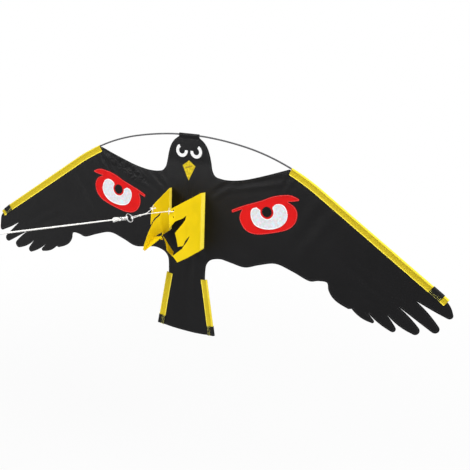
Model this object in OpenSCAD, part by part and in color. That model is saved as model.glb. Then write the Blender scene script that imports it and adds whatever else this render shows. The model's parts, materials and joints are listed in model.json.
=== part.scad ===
// Bird-scaring kite in the shape of a hawk, with its bridle, swivel and line.
// Millimetres. The sail stands in the XZ plane, its face looks towards -Y, and the
// origin is the loop at the far end of the line, where the kite is tied to its pole.

/* [Cloth] */
// Thickness of the sail cloth with its coating and seams
sail_t = 1.0; // [0.6:0.1:2]
// Thickness of the woven tape of the rod sleeves
tape_t = 0.6; // [0.4:0.1:1.2]
// Width of a sleeve's tape from the rod's axis inwards
tape_w = 15; // [12:0.5:22]
// Distance from the rod's axis to where the two layers of a sleeve meet the sail
tape_taper = 8; // [6:0.5:10]
// Thickness of the sewn-on pictures
patch_t = 0.5; // [0.3:0.1:1]
// Thickness of the black end bands
band_t = 0.8; // [0.5:0.1:1.5]
// How far a band reaches past the inner edge of the tape
band_over = 1; // [0.5:0.1:3]
// Depth of the pocket on the head below the ferrule's axis
pocket_w = 12; // [10:0.5:14]

/* [Bow] */
// Diameter of the fibreglass rods
rod_d = 4; // [3:0.5:6]
// Play of a rod in its sleeve or ferrule, on the radius
rod_play = 0.3; // [0.2:0.05:0.5]
// Height of the bow's middle above the sail's centre line
bow_z = 229.5; // [220:0.5:240]
// Half the length of the pocket on the head
pocket_half = 27; // [24:1:34]
// Half the length of the ferrule that joins the two rods
ferrule_half = 22; // [15:1:23]
// Outer diameter of the ferrule
ferrule_d = 6.4; // [6:0.2:9]
// Slope of the bow at the start of the wing sleeve, in degrees
sleeve_angle = 24; // [20:0.5:28]
// Straight length of the bow, from the end of its bend to the end of the sleeve
wing_run = 356; // [330:1:380]
// How far the rod's tip stays inside the sleeve's end
rod_inset = 5; // [2:1:12]

/* [Wing bands] */
// Length of the black band near the end of a wing sleeve
wing_band_l = 29; // [15:1:40]
// Length of sleeve that shows beyond the band
wing_band_end = 13; // [6:1:25]

/* [Tail] */
// Half the width of the tail between its rods, at the top of the sleeves
tail_top_half = 57; // [50:1:64]
// Half the width of the tail between its rods, at the bottom
tail_end_half = 82.5; // [70:0.5:95]
// Height of the top of the tail sleeves
tail_top_z = -128; // [-134:1:-122]
// Height of the bottom of the tail sleeves
tail_end_z = -274; // [-285:1:-262]
// Height of the lowest point of the tail's edge
tail_low_z = -281; // [-292:1:-276]
// Length of the black bands at the tail's corners
tail_band_l = 25; // [12:1:40]

/* [Pictures] */
// Distance of a wing eye's pupil from the middle of the sail
pupil_x = 213; // [200:1:226]
// Height of a wing eye's pupil
pupil_z = 70; // [62:1:80]
// Radius of a wing eye's pupil
pupil_r = 12.5; // [9:0.5:15]
// Radius of the red rim round the pupil
pupil_rim_r = 17; // [15.5:0.5:19]
// Distance of an eye on the head from its middle
head_eye_x = 20; // [18:0.5:24]
// Height of the eyes on the head
head_eye_z = 191; // [186:0.5:194]
// Middle radius of an eye on the head
head_eye_r = 12.3; // [10:0.1:14]
// Width of the white stroke of an eye on the head
head_eye_w = 6.4; // [4:0.2:8]
// Half the width of the beak
beak_half = 18; // [14:0.5:22]
// Height of the beak's top
beak_top_z = 168; // [160:0.5:174]
// Height of the beak's widest place
beak_side_z = 155; // [148:0.5:158]
// Height of the beak's tip
beak_tip_z = 119; // [110:0.5:126]

/* [Talons] */
// Distance of a talon's fold from the middle of the sail
keel_x = 48; // [44:1:54]
// Lean of the talons towards the middle, in degrees
talon_lean = 11; // [8:0.5:13]
// Thickness of the talon cloth
talon_t = 1.0; // [0.6:0.1:1.6]
// Thickness of the hem along the fold
hem_t = 1.8; // [1.2:0.1:2]
// Width of the hem along the fold
hem_w = 14; // [8:1:20]
// Radius of the fold, round which a talon swings
fold_r = 1.0; // [0.6:0.1:1.6]
// Gap between the fold and the sail
fold_gap = 0.3; // [0.2:0.05:0.6]
// Width of the tape that backs a talon's seam
keel_tape_w = 12; // [8:1:18]
// Distance of the tow hole from the fold
tow_hole_u = 109.5; // [108:0.5:111]
// Height of the tow hole
tow_hole_z = 68; // [66:0.5:69]
// Radius of the tow hole
tow_hole_r = 2.6; // [2.4:0.1:3]
// Gap between the cord in the tow hole and the hole's edge that it pulls on
tow_seat = 0.4; // [0.35:0.05:0.6]
// Radius of the spare hole below it
spare_hole_r = 1.8; // [1:0.1:2.5]
// How far the spare hole lies below the tow hole
spare_hole_drop = 15; // [10:1:20]

/* [Bridle] */
// Diameter of the bridle cord
bridle_d = 1.6; // [1.2:0.1:2]
// Rise of the bridle from the talons, in degrees
bridle_rise = 2.5; // [0:0.5:8]
// Radius of the cord loop through a talon
talon_loop_r = 6; // [5.6:0.1:6.6]
// Radius of the knot that closes such a loop
talon_knot_r = 2.2; // [1.8:0.1:2.6]
// Gap between that knot and the leg of the bridle
leg_gap = 0.3; // [0.2:0.05:0.5]
// Distance from the tow holes to the point where the legs meet
bridle_reach = 69; // [60:1:76]
// Distance from the tow holes to the bridle's knot
bridle_knot_at = 90; // [84:1:96]
// Radius of the bridle's knot
bridle_knot_r = 2.8; // [2.2:0.1:3.4]
// Distance from the tow holes to the wire of the ring
ring_at = 120; // [114:1:126]

/* [Ring and swivel] */
// Rise of the line from the ring on, in degrees
line_rise = 7.5; // [4:0.5:12]
// Turn of the ring about the line, in degrees
ring_tilt = 25; // [-45:5:45]
// Radius of the split ring to the middle of its wire
ring_r = 9.75; // [9.3:0.05:12]
// Diameter of the split ring's wire
ring_wire = 1.4; // [1.1:0.1:1.5]
// Gap between the two turns of the split ring
ring_gap = 0.45; // [0.42:0.01:0.5]
// Radius of a swivel eye to the middle of its wire
eye_r = 4.2; // [4.1:0.1:4.8]
// Diameter of a swivel eye's wire
eye_wire = 2.0; // [1.6:0.1:2.2]
// How far an eye is drawn past the wire that it holds
eye_slack = 1.2; // [1:0.05:1.25]
// Length of the swivel's barrel
barrel_l = 9.5; // [8.5:0.5:14]
// Outer diameter of the swivel's barrel
barrel_d = 7; // [6.6:0.1:9]
// Wall of the swivel's barrel
barrel_wall = 1.1; // [0.8:0.1:1.2]
// Bare neck between an eye and the barrel
neck_l = 0.8; // [0.4:0.1:2]
// Running clearance of a neck in the barrel, on the radius
neck_play = 0.06; // [0.03:0.01:0.1]
// Length of the head that holds a neck in the barrel
head_l = 2; // [1.5:0.1:2.4]
// Play of the head along and across the barrel
head_play = 0.3; // [0.2:0.05:0.4]

/* [Line] */
// Diameter of the line
line_d = 3; // [2.4:0.1:3.2]
// Radius of the line's loop through the swivel's eye
line_loop_r = 4; // [3.9:0.1:4.4]
// Length of the knot at the swivel
line_knot_l = 15; // [10:1:20]
// Radius of the knot at the swivel, without its turns
line_knot_r = 3; // [2.6:0.1:4]
// Number of turns in the knot
line_knot_turns = 4; // [2:1:6]
// Length of the line between its two knots
line_l = 313; // [200:1:400]
// Length of the knot at the end loop
end_knot_l = 10; // [8:1:16]
// Radius of the knot at the end loop
end_knot_r = 4; // [3.5:0.1:5]
// Half the length of the end loop
end_loop_half = 21; // [14:1:40]
// Half the width of the end loop
end_loop_w = 9; // [7:0.5:20]

/* [Hidden] */

$fn = 48;
// Steps of a drawn curve between two of its points, and of an arc
curve_steps = 6;
arc_steps = 12;
// Sides and spacing of a cord's tube
cord_sides = 8;
cord_knot_sides = 12;
cord_step = 2.5;
rod_sides = 16;
// Clearance between two layers of tape that lie on each other
layer_gap = 0.15;
// Colours
black = "#232225";
yellow = "#e3cf2b";
red = "#dd1f1d";
white = "#eef0ee";
cord_white = "#f4f3ee";
steel = "#b9bcbe";
dark_rod = "#3c3d40";

// The bow: its arcs in turn, as [radius, slope at its end in degrees]
bow_arcs = [[300, 4], [850, 11], [530, 33.5]];
bow_end_angle = bow_arcs[2][1];

// Side of the head and top of the shoulder, from the end of the pocket, as [outwards, up]
head_side = [[0, -3.5], [6, -7.5], [16, -15.5], [25, -28.5], [31, -45.5], [35, -63.5], [39, -80.5],
  [48, -92.5], [63, -96.5], [83, -97.5], [103, -95.5], [128, -90.5], [158, -81.5], [193, -69.5]];
// Feathers from the wing tip inwards, measured from the tip of the sleeve:
// the notch before a feather, the centre and the radius of its round end,
// and how far its outer and its inner edge bulge, as shares of their length
feathers = [
  [[-2, -3], [5, -32], 8.5, 0.07, 0.01],
  [[-65, -15], [-21, -69], 10.5, 0.035, 0],
  [[-102, -36], [-62, -82], 11, 0.03, 0.065],
  [[-125, -60], [-110, -90], 8, 0.02, 0.05],
  [[-170, -63], [-156, -83], 4.5, 0.01, 0.09]
];
feather_end = [-205, -64];
// Edge behind the feathers, measured from the tip of the sleeve too
back_edge = [[-213, -66], [-237, -57], [-253, -46], [-263, -31], [-268, -14], [-289, -14]];
// Lower edge from the wing to the tail, measured from the middle of the sail
lower_edge = [[327, -78], [285, -63], [242, -52], [200, -63], [162, -76],
  [122, -71], [95, -67], [70, -73], [57, -87], [54, -105]];

// Points of the red picture of an eye, measured from the pupil
brow_top = [[-92, -8], [-63, 6], [-38, 16], [-13, 26], [12, 38], [37, 45], [59, 47], [78, 41]];
brow_low = [[78, 37], [63, 33]];
brow_in = [[-90, -14.5]];
eye_round = [[50, 31], [67, 22], [75, 9], [75, -6], [69, -21], [55, -34], [35, -43], [9, -51],
  [-15, -57], [-35, -58], [-53, -52], [-64, -40], [-70, -26], [-69, -14], [-64, -3]];
// Points of the white of an eye, outside of the pupil's rim
white_round = [[-27, 7], [-36, 4], [-41, -4], [-41, -15], [-37, -26], [-29, -36], [-16, -41], [2, -42],
  [21, -38], [38, -29], [49, -16], [52, -2], [49, 11], [42, 20], [32, 23], [22, 21], [15, 15]];
white_rim_from = 38;
white_rim_to = -187;
// Ends of the stroke of an eye on the head, in degrees
head_eye_from = 178;
head_eye_to = 422;

// Outline of a talon, as [distance from the fold, height]
talon_top = 95;
talon_low = -46;
talon_edge = [[12, 96], [112, 75], [118, 71], [124, 60], [128, 31],
  [104, 41], [76, 44], [63, 49], [67, 38], [111, 17], [105, -1], [101, -18],
  [79, -22], [71, -12], [50, -4], [56, -13], [74, -32], [104, -44], [90, -63], [4, -48]];

// Sleeve sizes
rod_bore_r = rod_d / 2 + rod_play;
pocket_bore_r = ferrule_d / 2 + rod_play;
sail_half = sail_t / 2;
// How far the cloth's edge stays behind the rod or ferrule in a sleeve, and inside a sleeve's ends
seam_in = 1.5;
tip_in = 1;
edge_in = rod_d / 2 + seam_in;
pocket_edge_in = ferrule_d / 2 + seam_in;
face_y = -sail_half;

// Talons and bridle
fold_y = face_y - fold_gap - fold_r;
// The edge of the tow hole that the cord pulls on and turns round
tow_edge_u = tow_hole_u + tow_hole_r;
tow_edge = [keel_x - tow_edge_u * sin(talon_lean), fold_y - tow_edge_u * cos(talon_lean), tow_hole_z];
splay = atan2(tow_edge[0], bridle_reach);
loop_ahead = talon_loop_r - bridle_d / 2 - tow_seat;
knot_ahead = loop_ahead + talon_loop_r;

// Ring, swivel and line, as distances along the line from the ring's first wire
ring_wire_at = [0, tow_edge[1] - ring_at * cos(bridle_rise), tow_edge[2] + ring_at * sin(bridle_rise)];
ring_pitch = ring_wire + ring_gap;
eye_in = eye_r - eye_wire / 2;
first_eye_s = 2 * ring_r + eye_slack;
barrel_s = first_eye_s + eye_r + eye_wire / 2 + neck_l;
second_eye_s = barrel_s + barrel_l + neck_l + eye_wire / 2 + eye_r;
line_loop_s = second_eye_s + eye_r + line_loop_r - line_d / 2 - eye_wire / 2 - head_play;
line_knot_s = line_loop_s + line_loop_r;
line_s = line_knot_s + line_knot_l;
end_knot_s = line_s + line_l;
end_loop_s = end_knot_s + end_knot_l + end_loop_half;
origin_at = ring_wire_at + end_loop_s * [0, -cos(line_rise), sin(line_rise)];

// Curves
function mix(a, b, t) = a + (b - a) * t;
function arc(c, r, from, to, n = arc_steps) =
  [for (i = [0 : n]) let (a = mix(from, to, i / n)) c + r * [cos(a), sin(a)]];
function bend(a, b, c, d, t) =
  0.5 * (2 * b + (c - a) * t + (2 * a - 5 * b + 4 * c - d) * t * t + (3 * b - a - 3 * c + d) * t * t * t);
function curve(p, n = curve_steps) = let (last = len(p) - 1) concat(
  [for (i = [0 : last - 1], k = [0 : n - 1])
    bend(p[max(i - 1, 0)], p[i], p[i + 1], p[min(i + 2, last)], k / n)], [p[last]]);
function but_last(p) = [for (i = [0 : len(p) - 2]) p[i]];
function flip(p) = [for (i = [len(p) - 1 : -1 : 0]) [-p[i][0], p[i][1]]];
function turn(v, a) = [v[0] * cos(a) - v[1] * sin(a), v[0] * sin(a) + v[1] * cos(a)];

// The bow: centre of arc k, and the point at a slope on it
function bow_start_angle(k) = k == 0 ? 0 : bow_arcs[k - 1][1];
function bow_centre(k) = k == 0
  ? [pocket_half, bow_z - bow_arcs[0][0]]
  : bow_centre(k - 1) + (bow_arcs[k - 1][0] - bow_arcs[k][0])
    * [sin(bow_start_angle(k)), cos(bow_start_angle(k))];
function bow_point(k, slope, out = 0) =
  bow_centre(k) + (bow_arcs[k][0] + out) * [sin(slope), cos(slope)];
function run_point(s, out = 0) =
  bow_point(2, bow_end_angle, out) + s * [cos(bow_end_angle), -sin(bow_end_angle)];

// One feather from its notch to the next: two bulging edges and a round end
wing_tip = run_point(wing_run);
function side(a, b, bulge) = [for (i = [0 : curve_steps]) let (t = i / curve_steps)
  a + (b - a) * t + 4 * bulge * t * (1 - t) * turn(b - a, 90)];
// Angle, seen from centre c, at which a line from p touches the circle round c
function touch(p, c, r, way) = let (d = p - c) atan2(d[1], d[0]) + way * acos(r / norm(d));
function feather(from, c, r, outer, inner, next) = let (
    start = touch(from, c, r, -1),
    end = touch(next, c, r, 1) - 360,
    stop = end < start - 360 ? end + 360 : end,
    tip = arc(c, r, start, stop, 8))
  concat(but_last(side(from, tip[0], outer)), but_last(tip),
    but_last(side(tip[8], next, inner)));
function notch(i) = wing_tip + (i < len(feathers) ? feathers[i][0] : feather_end);
all_feathers = [for (i = [0 : len(feathers) - 1]) let (f = feathers[i])
  each feather(notch(i), wing_tip + f[1], f[2], f[3], f[4], notch(i + 1))];

// The tail's rods
tail_top = [tail_top_half, tail_top_z];
tail_end = [tail_end_half, tail_end_z];
tail_dir = (tail_end - tail_top) / norm(tail_end - tail_top);
tail_l = norm(tail_end - tail_top);
tail_angle = atan2(tail_dir[0], -tail_dir[1]);

// Half of the sail's edge, from the middle of the head to the middle of the tail
sleeve_edge = [for (i = [0 : arc_steps])
  bow_point(2, mix(sleeve_angle, bow_end_angle, i / arc_steps), -edge_in)];
half_edge = concat(
  [[0, bow_z - pocket_edge_in], [pocket_half - tip_in, bow_z - pocket_edge_in]],
  but_last(curve(concat([for (p = head_side) [pocket_half, bow_z] + p], [sleeve_edge[0]]))),
  sleeve_edge,
  [run_point(wing_run - tip_in, -edge_in)],
  all_feathers,
  [notch(len(feathers))],
  curve(concat([for (p = back_edge) wing_tip + p], lower_edge)),
  [tail_top + edge_in * turn(tail_dir, -90), tail_end + edge_in * turn(tail_dir, -90)],
  [for (i = [1 : curve_steps]) let (t = i / curve_steps)
    [(1 - t) * (tail_end_half - edge_in), mix(tail_end_z, tail_low_z, 1 - (1 - t) * (1 - t))]]
);

// A sleeve in cross-section: round the rod at the right, two layers towards the left
wrap = 125;
function sleeve_section(bore, t, w, half) = concat(
  [[-w, -half - t], [-tape_taper, -half - t]],
  arc([0, 0], bore + t, -wrap, wrap),
  [[-tape_taper, half + t], [-w, half + t], [-w, half], [-tape_taper, half]],
  arc([0, 0], bore, wrap, -wrap),
  [[-tape_taper, -half], [-w, -half]]
);
wing_section = sleeve_section(rod_bore_r, tape_t, tape_w, sail_half);
band_section = sleeve_section(rod_bore_r + tape_t + layer_gap, band_t, tape_w + band_over,
  sail_half + tape_t + layer_gap);
pocket_section = sleeve_section(pocket_bore_r, tape_t, pocket_w, sail_half);

// Places
module placed() translate(-origin_at) children();
module sheet(back_y, t) placed()
  translate([0, back_y, 0]) rotate([90, 0, 0]) linear_extrude(t) children();
module left() mirror([1, 0, 0]) children();
// A section drawn along the bow, on its third arc or on its straight run
module on_arc(k, from, to) let (c = bow_centre(k))
  translate([c[0], 0, c[1]]) rotate([90, 0, 0]) rotate([0, 0, 90 - to])
    rotate_extrude(angle = to - from, $fn = 360) translate([bow_arcs[k][0], 0]) children();
module on_run(from, to) let (p = run_point(from))
  translate([p[0], 0, p[1]]) rotate([0, bow_end_angle, 0]) rotate([90, 0, 90])
    linear_extrude(to - from) rotate(90) children();
module on_tail(from, to) let (p = tail_top + from * tail_dir)
  translate([p[0], 0, p[1]]) rotate([0, 180 - tail_angle, 0]) rotate([0, 0, 180])
    linear_extrude(to - from) children();
// The frame of the bridle, at the middle between the tow holes, and that of the line
module bridle_frame() placed()
  translate([0, tow_edge[1], tow_edge[2]]) rotate([-bridle_rise, 0, 0]) children();
module line_frame() placed()
  translate(ring_wire_at) rotate([-line_rise, 0, 0]) rotate([0, ring_tilt, 0]) children();
module along(s) translate([0, -s, 0]) rotate([90, 0, 0]) children();

// Tubes along a path of points in the XY plane, open or closed
function heading(p, i, closed) = let (n = len(p),
    a = closed ? p[(i + n - 1) % n] : p[max(i - 1, 0)],
    b = closed ? p[(i + 1) % n] : p[min(i + 1, n - 1)])
  (b - a) / norm(b - a);
function ring_of(p, i, r, closed, m) = let (h = heading(p, i, closed),
    across = cross(h, [0, 0, 1]) / norm(cross(h, [0, 0, 1])), top = cross(across, h))
  [for (k = [0 : m - 1]) let (a = 360 * k / m) p[i] + r * (cos(a) * across + sin(a) * top)];
module tube(p, r, closed = false, sides = cord_sides) {
  n = len(p);
  m = sides;
  points = [for (i = [0 : n - 1]) each ring_of(p, i, r, closed, m)];
  walls = [for (i = [0 : closed ? n - 1 : n - 2], k = [0 : m - 1])
    let (here = i * m, next = ((i + 1) % n) * m, turned = (k + 1) % m)
    each [[here + k, here + turned, next + turned], [here + k, next + turned, next + k]]];
  ends = closed ? [] : concat(
    [for (k = [1 : m - 2]) [0, k + 1, k]],
    [for (k = [1 : m - 2]) [(n - 1) * m, (n - 1) * m + k, (n - 1) * m + k + 1]]);
  polyhedron(points, concat(walls, ends));
}

// Sail and bow
module sail() color(black) sheet(sail_half, sail_t) polygon(concat(half_edge, flip(half_edge)));

module head_pocket() color(black) placed()
  translate([-pocket_half, 0, bow_z]) rotate([90, 0, 90]) linear_extrude(2 * pocket_half)
    rotate(90) polygon(pocket_section);

module spar_ferrule() color(steel) placed() translate([0, 0, bow_z]) rotate([0, 90, 0]) difference() {
  cylinder(h = 2 * ferrule_half, d = ferrule_d, center = true);
  cylinder(h = 2 * ferrule_half + 2, r = rod_d / 2 + rod_play / 2, center = true);
}

// The rod's path as it is bent, from the middle of the ferrule to its tip
rod_path = concat([[rod_play, bow_z]],
  [for (k = [0 : len(bow_arcs) - 1], i = [0 : 2 + 4 * k])
    bow_point(k, mix(bow_start_angle(k), bow_arcs[k][1], i / (3 + 4 * k)))],
  [run_point(0), run_point(wing_run - rod_inset)]);
module wing_rod() color(dark_rod) rotate([90, 0, 0])
  tube([for (p = rod_path) [p[0], p[1], 0]], rod_d / 2, sides = rod_sides);
module right_wing_rod() placed() wing_rod();
module left_wing_rod() placed() left() wing_rod();

module wing_sleeve() color(yellow) {
  on_arc(2, sleeve_angle, bow_end_angle) polygon(wing_section);
  on_run(0, wing_run) polygon(wing_section);
}
module right_wing_sleeve() placed() wing_sleeve();
module left_wing_sleeve() placed() left() wing_sleeve();

module wing_band() color(black)
  on_run(wing_run - wing_band_end - wing_band_l, wing_run - wing_band_end) polygon(band_section);
module right_wing_band() placed() wing_band();
module left_wing_band() placed() left() wing_band();

// Tail
module tail_rod() color(dark_rod) on_tail(rod_inset, tail_l - rod_inset) circle(d = rod_d);
module right_tail_rod() placed() tail_rod();
module left_tail_rod() placed() left() tail_rod();

module tail_sleeve() color(yellow) on_tail(0, tail_l) polygon(wing_section);
module right_tail_sleeve() placed() tail_sleeve();
module left_tail_sleeve() placed() left() tail_sleeve();

module tail_band() color(black) on_tail(tail_l - tail_band_l, tail_l) polygon(band_section);
module right_tail_band() placed() tail_band();
module left_tail_band() placed() left() tail_band();

// Pictures
module head_eye() color(white) sheet(face_y, patch_t) polygon(concat(
  arc([head_eye_x, head_eye_z], head_eye_r + head_eye_w / 2, head_eye_from, head_eye_to, 24),
  arc([head_eye_x, head_eye_z], head_eye_r - head_eye_w / 2, head_eye_to, head_eye_from, 24)));
module right_head_eye() head_eye();
module left_head_eye() left() head_eye();

module beak() color(yellow) sheet(face_y, patch_t)
  polygon([[0, beak_top_z], [beak_half, beak_side_z], [0, beak_tip_z], [-beak_half, beak_side_z]]);

module at_pupil() translate([pupil_x, pupil_z]) children();
module eye_patch() color(red) sheet(face_y, patch_t) at_pupil()
  polygon(concat(curve(brow_top), brow_low, curve(eye_round), brow_in));
module right_eye_patch() eye_patch();
module left_eye_patch() left() eye_patch();

module eye_white() color(white) sheet(face_y - patch_t, patch_t) at_pupil()
  polygon(concat(curve(white_round), arc([0, 0], pupil_rim_r, white_rim_from, white_rim_to, 24)));
module right_eye_white() eye_white();
module left_eye_white() left() eye_white();

module pupil() color(black) sheet(face_y - patch_t, patch_t) at_pupil() circle(r = pupil_r);
module right_pupil() pupil();
module left_pupil() left() pupil();

// Talons: a hemmed flap that swings round its fold
module keel_tape() color(black) sheet(sail_half + tape_t, tape_t)
  translate([keel_x - keel_tape_w / 2, talon_low]) square([keel_tape_w, talon_top - talon_low]);
module right_keel_tape() keel_tape();
module left_keel_tape() left() keel_tape();

module talon_shape() polygon(concat([[0, talon_low], [0, talon_top]], talon_edge));
module talon() color(yellow) translate([keel_x, fold_y, 0]) rotate([0, 0, -90 - talon_lean]) {
  difference() {
    rotate([90, 0, 0]) translate([0, 0, -talon_t / 2]) linear_extrude(talon_t) talon_shape();
    translate([tow_hole_u, 0, tow_hole_z]) rotate([90, 0, 0])
      cylinder(h = 4 * talon_t, r = tow_hole_r, center = true);
    translate([tow_hole_u, 0, tow_hole_z - spare_hole_drop]) rotate([90, 0, 0])
      cylinder(h = 4 * talon_t, r = spare_hole_r, center = true);
  }
  rotate([90, 0, 0]) translate([0, 0, -hem_t / 2]) linear_extrude(hem_t)
    translate([0, talon_low]) square([hem_w, talon_top - talon_low]);
  translate([0, 0, talon_low]) cylinder(h = talon_top - talon_low, r = fold_r);
}
module right_talon() placed() talon();
module left_talon() placed() left() talon();

// Bridle: a loop of cord through each talon, and one cord from them to the ring
module talon_loop() color(cord_white) bridle_frame()
  translate([tow_edge[0], 0, 0]) rotate([0, 0, -splay]) {
    tube([for (p = but_last(arc([0, -loop_ahead], talon_loop_r, 0, 360, 24))) [p[0], p[1], 0]],
      bridle_d / 2, true);
    translate([0, -knot_ahead, 0]) sphere(r = talon_knot_r, $fn = cord_knot_sides);
  }
module right_talon_loop() talon_loop();
module left_talon_loop() left() talon_loop();

// The cord's turn round the ring's wire, clear of both turns of that wire
bow_loop_r = eye_in - eye_slack + bridle_d / 2;
leg_dir = [-sin(splay), -cos(splay), 0];
leg_from = [tow_edge[0], 0, 0] + (knot_ahead + talon_knot_r + leg_gap) * leg_dir;
leg_to = [0, -bridle_reach, 0];
strand = bridle_d / 4;
half_turn = concat([[strand, -bridle_knot_at]], arc([0, -ring_at], bow_loop_r, 25, -90, 8));
module bridle() color(cord_white) bridle_frame() {
  for (way = [0, 1]) mirror([way, 0, 0])
    tube([leg_from, mix(leg_from, leg_to, 0.5), leg_to], bridle_d / 2);
  translate(leg_to) sphere(r = bridle_d, $fn = cord_knot_sides);
  tube([leg_to, mix(leg_to, [0, -bridle_knot_at, 0], 0.5), [0, -bridle_knot_at, 0]], 0.75 * bridle_d);
  translate([0, -bridle_knot_at, 0]) sphere(r = bridle_knot_r, $fn = cord_knot_sides);
  rotate([0, ring_tilt + 90, 0]) for (way = [0, 1]) mirror([way, 0, 0])
    tube([for (p = half_turn) [p[0], p[1], 0]], bridle_d / 2);
}

// Ring: one wire in two turns, with a crossing from the first to the second
ring_rings = 52;
// Where the wire starts, how far it runs, and where it crosses over, in degrees
ring_from = -138;
ring_sweep = 635;
cross_from = 290;
cross_to = 345;
function ring_rise(a) =
  let (u = min(1, max(0, (a - cross_from) / (cross_to - cross_from)))) u * u * (3 - 2 * u) - 0.5;
ring_path = [for (i = [0 : ring_rings]) let (a = ring_sweep * i / ring_rings)
  [ring_r * cos(ring_from + a), ring_r * sin(ring_from + a), ring_pitch * ring_rise(a)]];
ring_least = min([for (i = [0 : ring_rings], k = [0 : ring_rings]) if (k > i + ring_rings / 8)
  norm(ring_path[i] - ring_path[k])]) - ring_wire;
echo(split_ring_least_gap = ring_least);
module split_ring() color(steel) line_frame() translate([0, -ring_r, 0]) tube(ring_path, ring_wire / 2);

// Swivel: two eyes whose necks turn in one barrel
neck_r = eye_wire / 2;
head_r = barrel_d / 2 - barrel_wall - head_play;
module swivel_eye() color(steel) {
  rotate([0, 90, 0]) rotate_extrude() translate([eye_r, 0]) circle(d = eye_wire);
  along(eye_r) cylinder(h = neck_r + neck_l + barrel_wall + head_play + head_l, r = neck_r);
  along(eye_r + neck_r + neck_l + barrel_wall + head_play) cylinder(h = head_l, r = head_r);
}
module swivel_ring_eye() line_frame() translate([0, -first_eye_s, 0]) swivel_eye();
module swivel_line_eye() line_frame() translate([0, -second_eye_s, 0]) rotate([0, 0, 180]) swivel_eye();
barrel_round = 1.6;
module swivel_barrel() color(steel) line_frame() along(barrel_s) rotate_extrude() polygon(concat(
  [[neck_r + neck_play, barrel_wall], [neck_r + neck_play, 0]],
  arc([barrel_d / 2 - barrel_round, barrel_round], barrel_round, -90, 0, 6),
  arc([barrel_d / 2 - barrel_round, barrel_l - barrel_round], barrel_round, 0, 90, 6),
  [[neck_r + neck_play, barrel_l], [neck_r + neck_play, barrel_l - barrel_wall],
    [barrel_d / 2 - barrel_wall, barrel_l - barrel_wall], [barrel_d / 2 - barrel_wall, barrel_wall]]));

// Line: a loop with a wound knot at the swivel, the taut line, and a tied loop at its end
module line_knot() color(cord_white) line_frame() {
  translate([0, -line_loop_s, 0]) rotate_extrude() translate([line_loop_r, 0]) circle(d = line_d);
  along(line_knot_s) {
    cylinder(h = line_knot_l, r = line_knot_r);
    for (i = [0 : line_knot_turns - 1])
      translate([0, 0, line_d / 2 + (i + 0.5) * (line_knot_l - line_d) / line_knot_turns])
        rotate_extrude() translate([line_knot_r, 0]) circle(d = (line_knot_l - line_d) / line_knot_turns);
  }
}
line_rings = ceil(line_l / (cord_step * line_d));
module line() color(cord_white) line_frame()
  tube([for (i = [0 : line_rings]) [0, -line_s - line_l * i / line_rings, 0]], line_d / 2);
end_rings = 32;
module end_loop() color(cord_white) line_frame() {
  along(end_knot_s) cylinder(h = end_knot_l, r = end_knot_r);
  translate([0, -end_loop_s, 0]) tube([for (i = [0 : end_rings - 1]) let (a = 360 * i / end_rings)
    [end_loop_w * sin(a), end_loop_half * cos(a), 0]], line_d / 2, true);
}

sail();
head_pocket();
spar_ferrule();
left_wing_rod();
right_wing_rod();
left_wing_sleeve();
right_wing_sleeve();
left_wing_band();
right_wing_band();
left_tail_rod();
right_tail_rod();
left_tail_sleeve();
right_tail_sleeve();
left_tail_band();
right_tail_band();
left_head_eye();
right_head_eye();
beak();
left_eye_patch();
right_eye_patch();
left_eye_white();
right_eye_white();
left_pupil();
right_pupil();
left_keel_tape();
right_keel_tape();
left_talon();
right_talon();
left_talon_loop();
right_talon_loop();
bridle();
split_ring();
swivel_ring_eye();
swivel_barrel();
swivel_line_eye();
line_knot();
line();
end_loop();
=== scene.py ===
import json
import math

import bmesh
import bpy
import numpy as np
from bpy.props import FloatProperty, FloatVectorProperty, IntProperty, PointerProperty
from mathutils import Matrix, Vector, noise


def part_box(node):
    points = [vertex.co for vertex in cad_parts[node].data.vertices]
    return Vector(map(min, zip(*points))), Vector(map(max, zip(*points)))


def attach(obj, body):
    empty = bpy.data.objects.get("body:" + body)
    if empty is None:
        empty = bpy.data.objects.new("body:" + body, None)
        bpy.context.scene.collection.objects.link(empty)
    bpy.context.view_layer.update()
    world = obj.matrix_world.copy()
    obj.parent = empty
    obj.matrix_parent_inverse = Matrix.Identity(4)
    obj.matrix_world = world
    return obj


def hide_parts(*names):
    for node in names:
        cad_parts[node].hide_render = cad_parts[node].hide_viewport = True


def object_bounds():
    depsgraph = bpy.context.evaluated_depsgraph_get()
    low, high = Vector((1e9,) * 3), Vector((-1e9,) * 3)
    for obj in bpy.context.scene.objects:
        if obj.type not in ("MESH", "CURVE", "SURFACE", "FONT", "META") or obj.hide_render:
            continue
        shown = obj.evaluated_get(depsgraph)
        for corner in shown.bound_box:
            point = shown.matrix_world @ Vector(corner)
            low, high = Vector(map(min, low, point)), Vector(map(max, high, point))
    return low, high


bl_info = {
    "name": "Hawk Kite Bird Scarer",
    "version": (1, 0, 0),
    "blender": (4, 5, 0),
    "location": "View3D > Sidebar > Kite",
    "description": "Sews, rigs and lights a hawk-shaped bird-scaring kite on its packed frame",
    "category": "Object",
}

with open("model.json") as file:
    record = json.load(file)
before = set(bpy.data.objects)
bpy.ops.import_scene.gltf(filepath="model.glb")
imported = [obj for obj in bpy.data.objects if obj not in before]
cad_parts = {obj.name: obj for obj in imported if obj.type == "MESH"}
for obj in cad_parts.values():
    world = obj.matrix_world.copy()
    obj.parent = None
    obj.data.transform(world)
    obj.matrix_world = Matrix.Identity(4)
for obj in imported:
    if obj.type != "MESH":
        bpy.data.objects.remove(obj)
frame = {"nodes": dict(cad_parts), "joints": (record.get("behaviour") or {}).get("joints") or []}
CAD_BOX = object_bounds()
JOINTS = {joint["name"]: joint for joint in frame["joints"]}

MM = 0.001
SIDES = (("left", -1), ("right", 1))
RIGHT, FRONT, UP = Vector((1, 0, 0)), Vector((0, -1, 0)), Vector((0, 0, 1))

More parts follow.
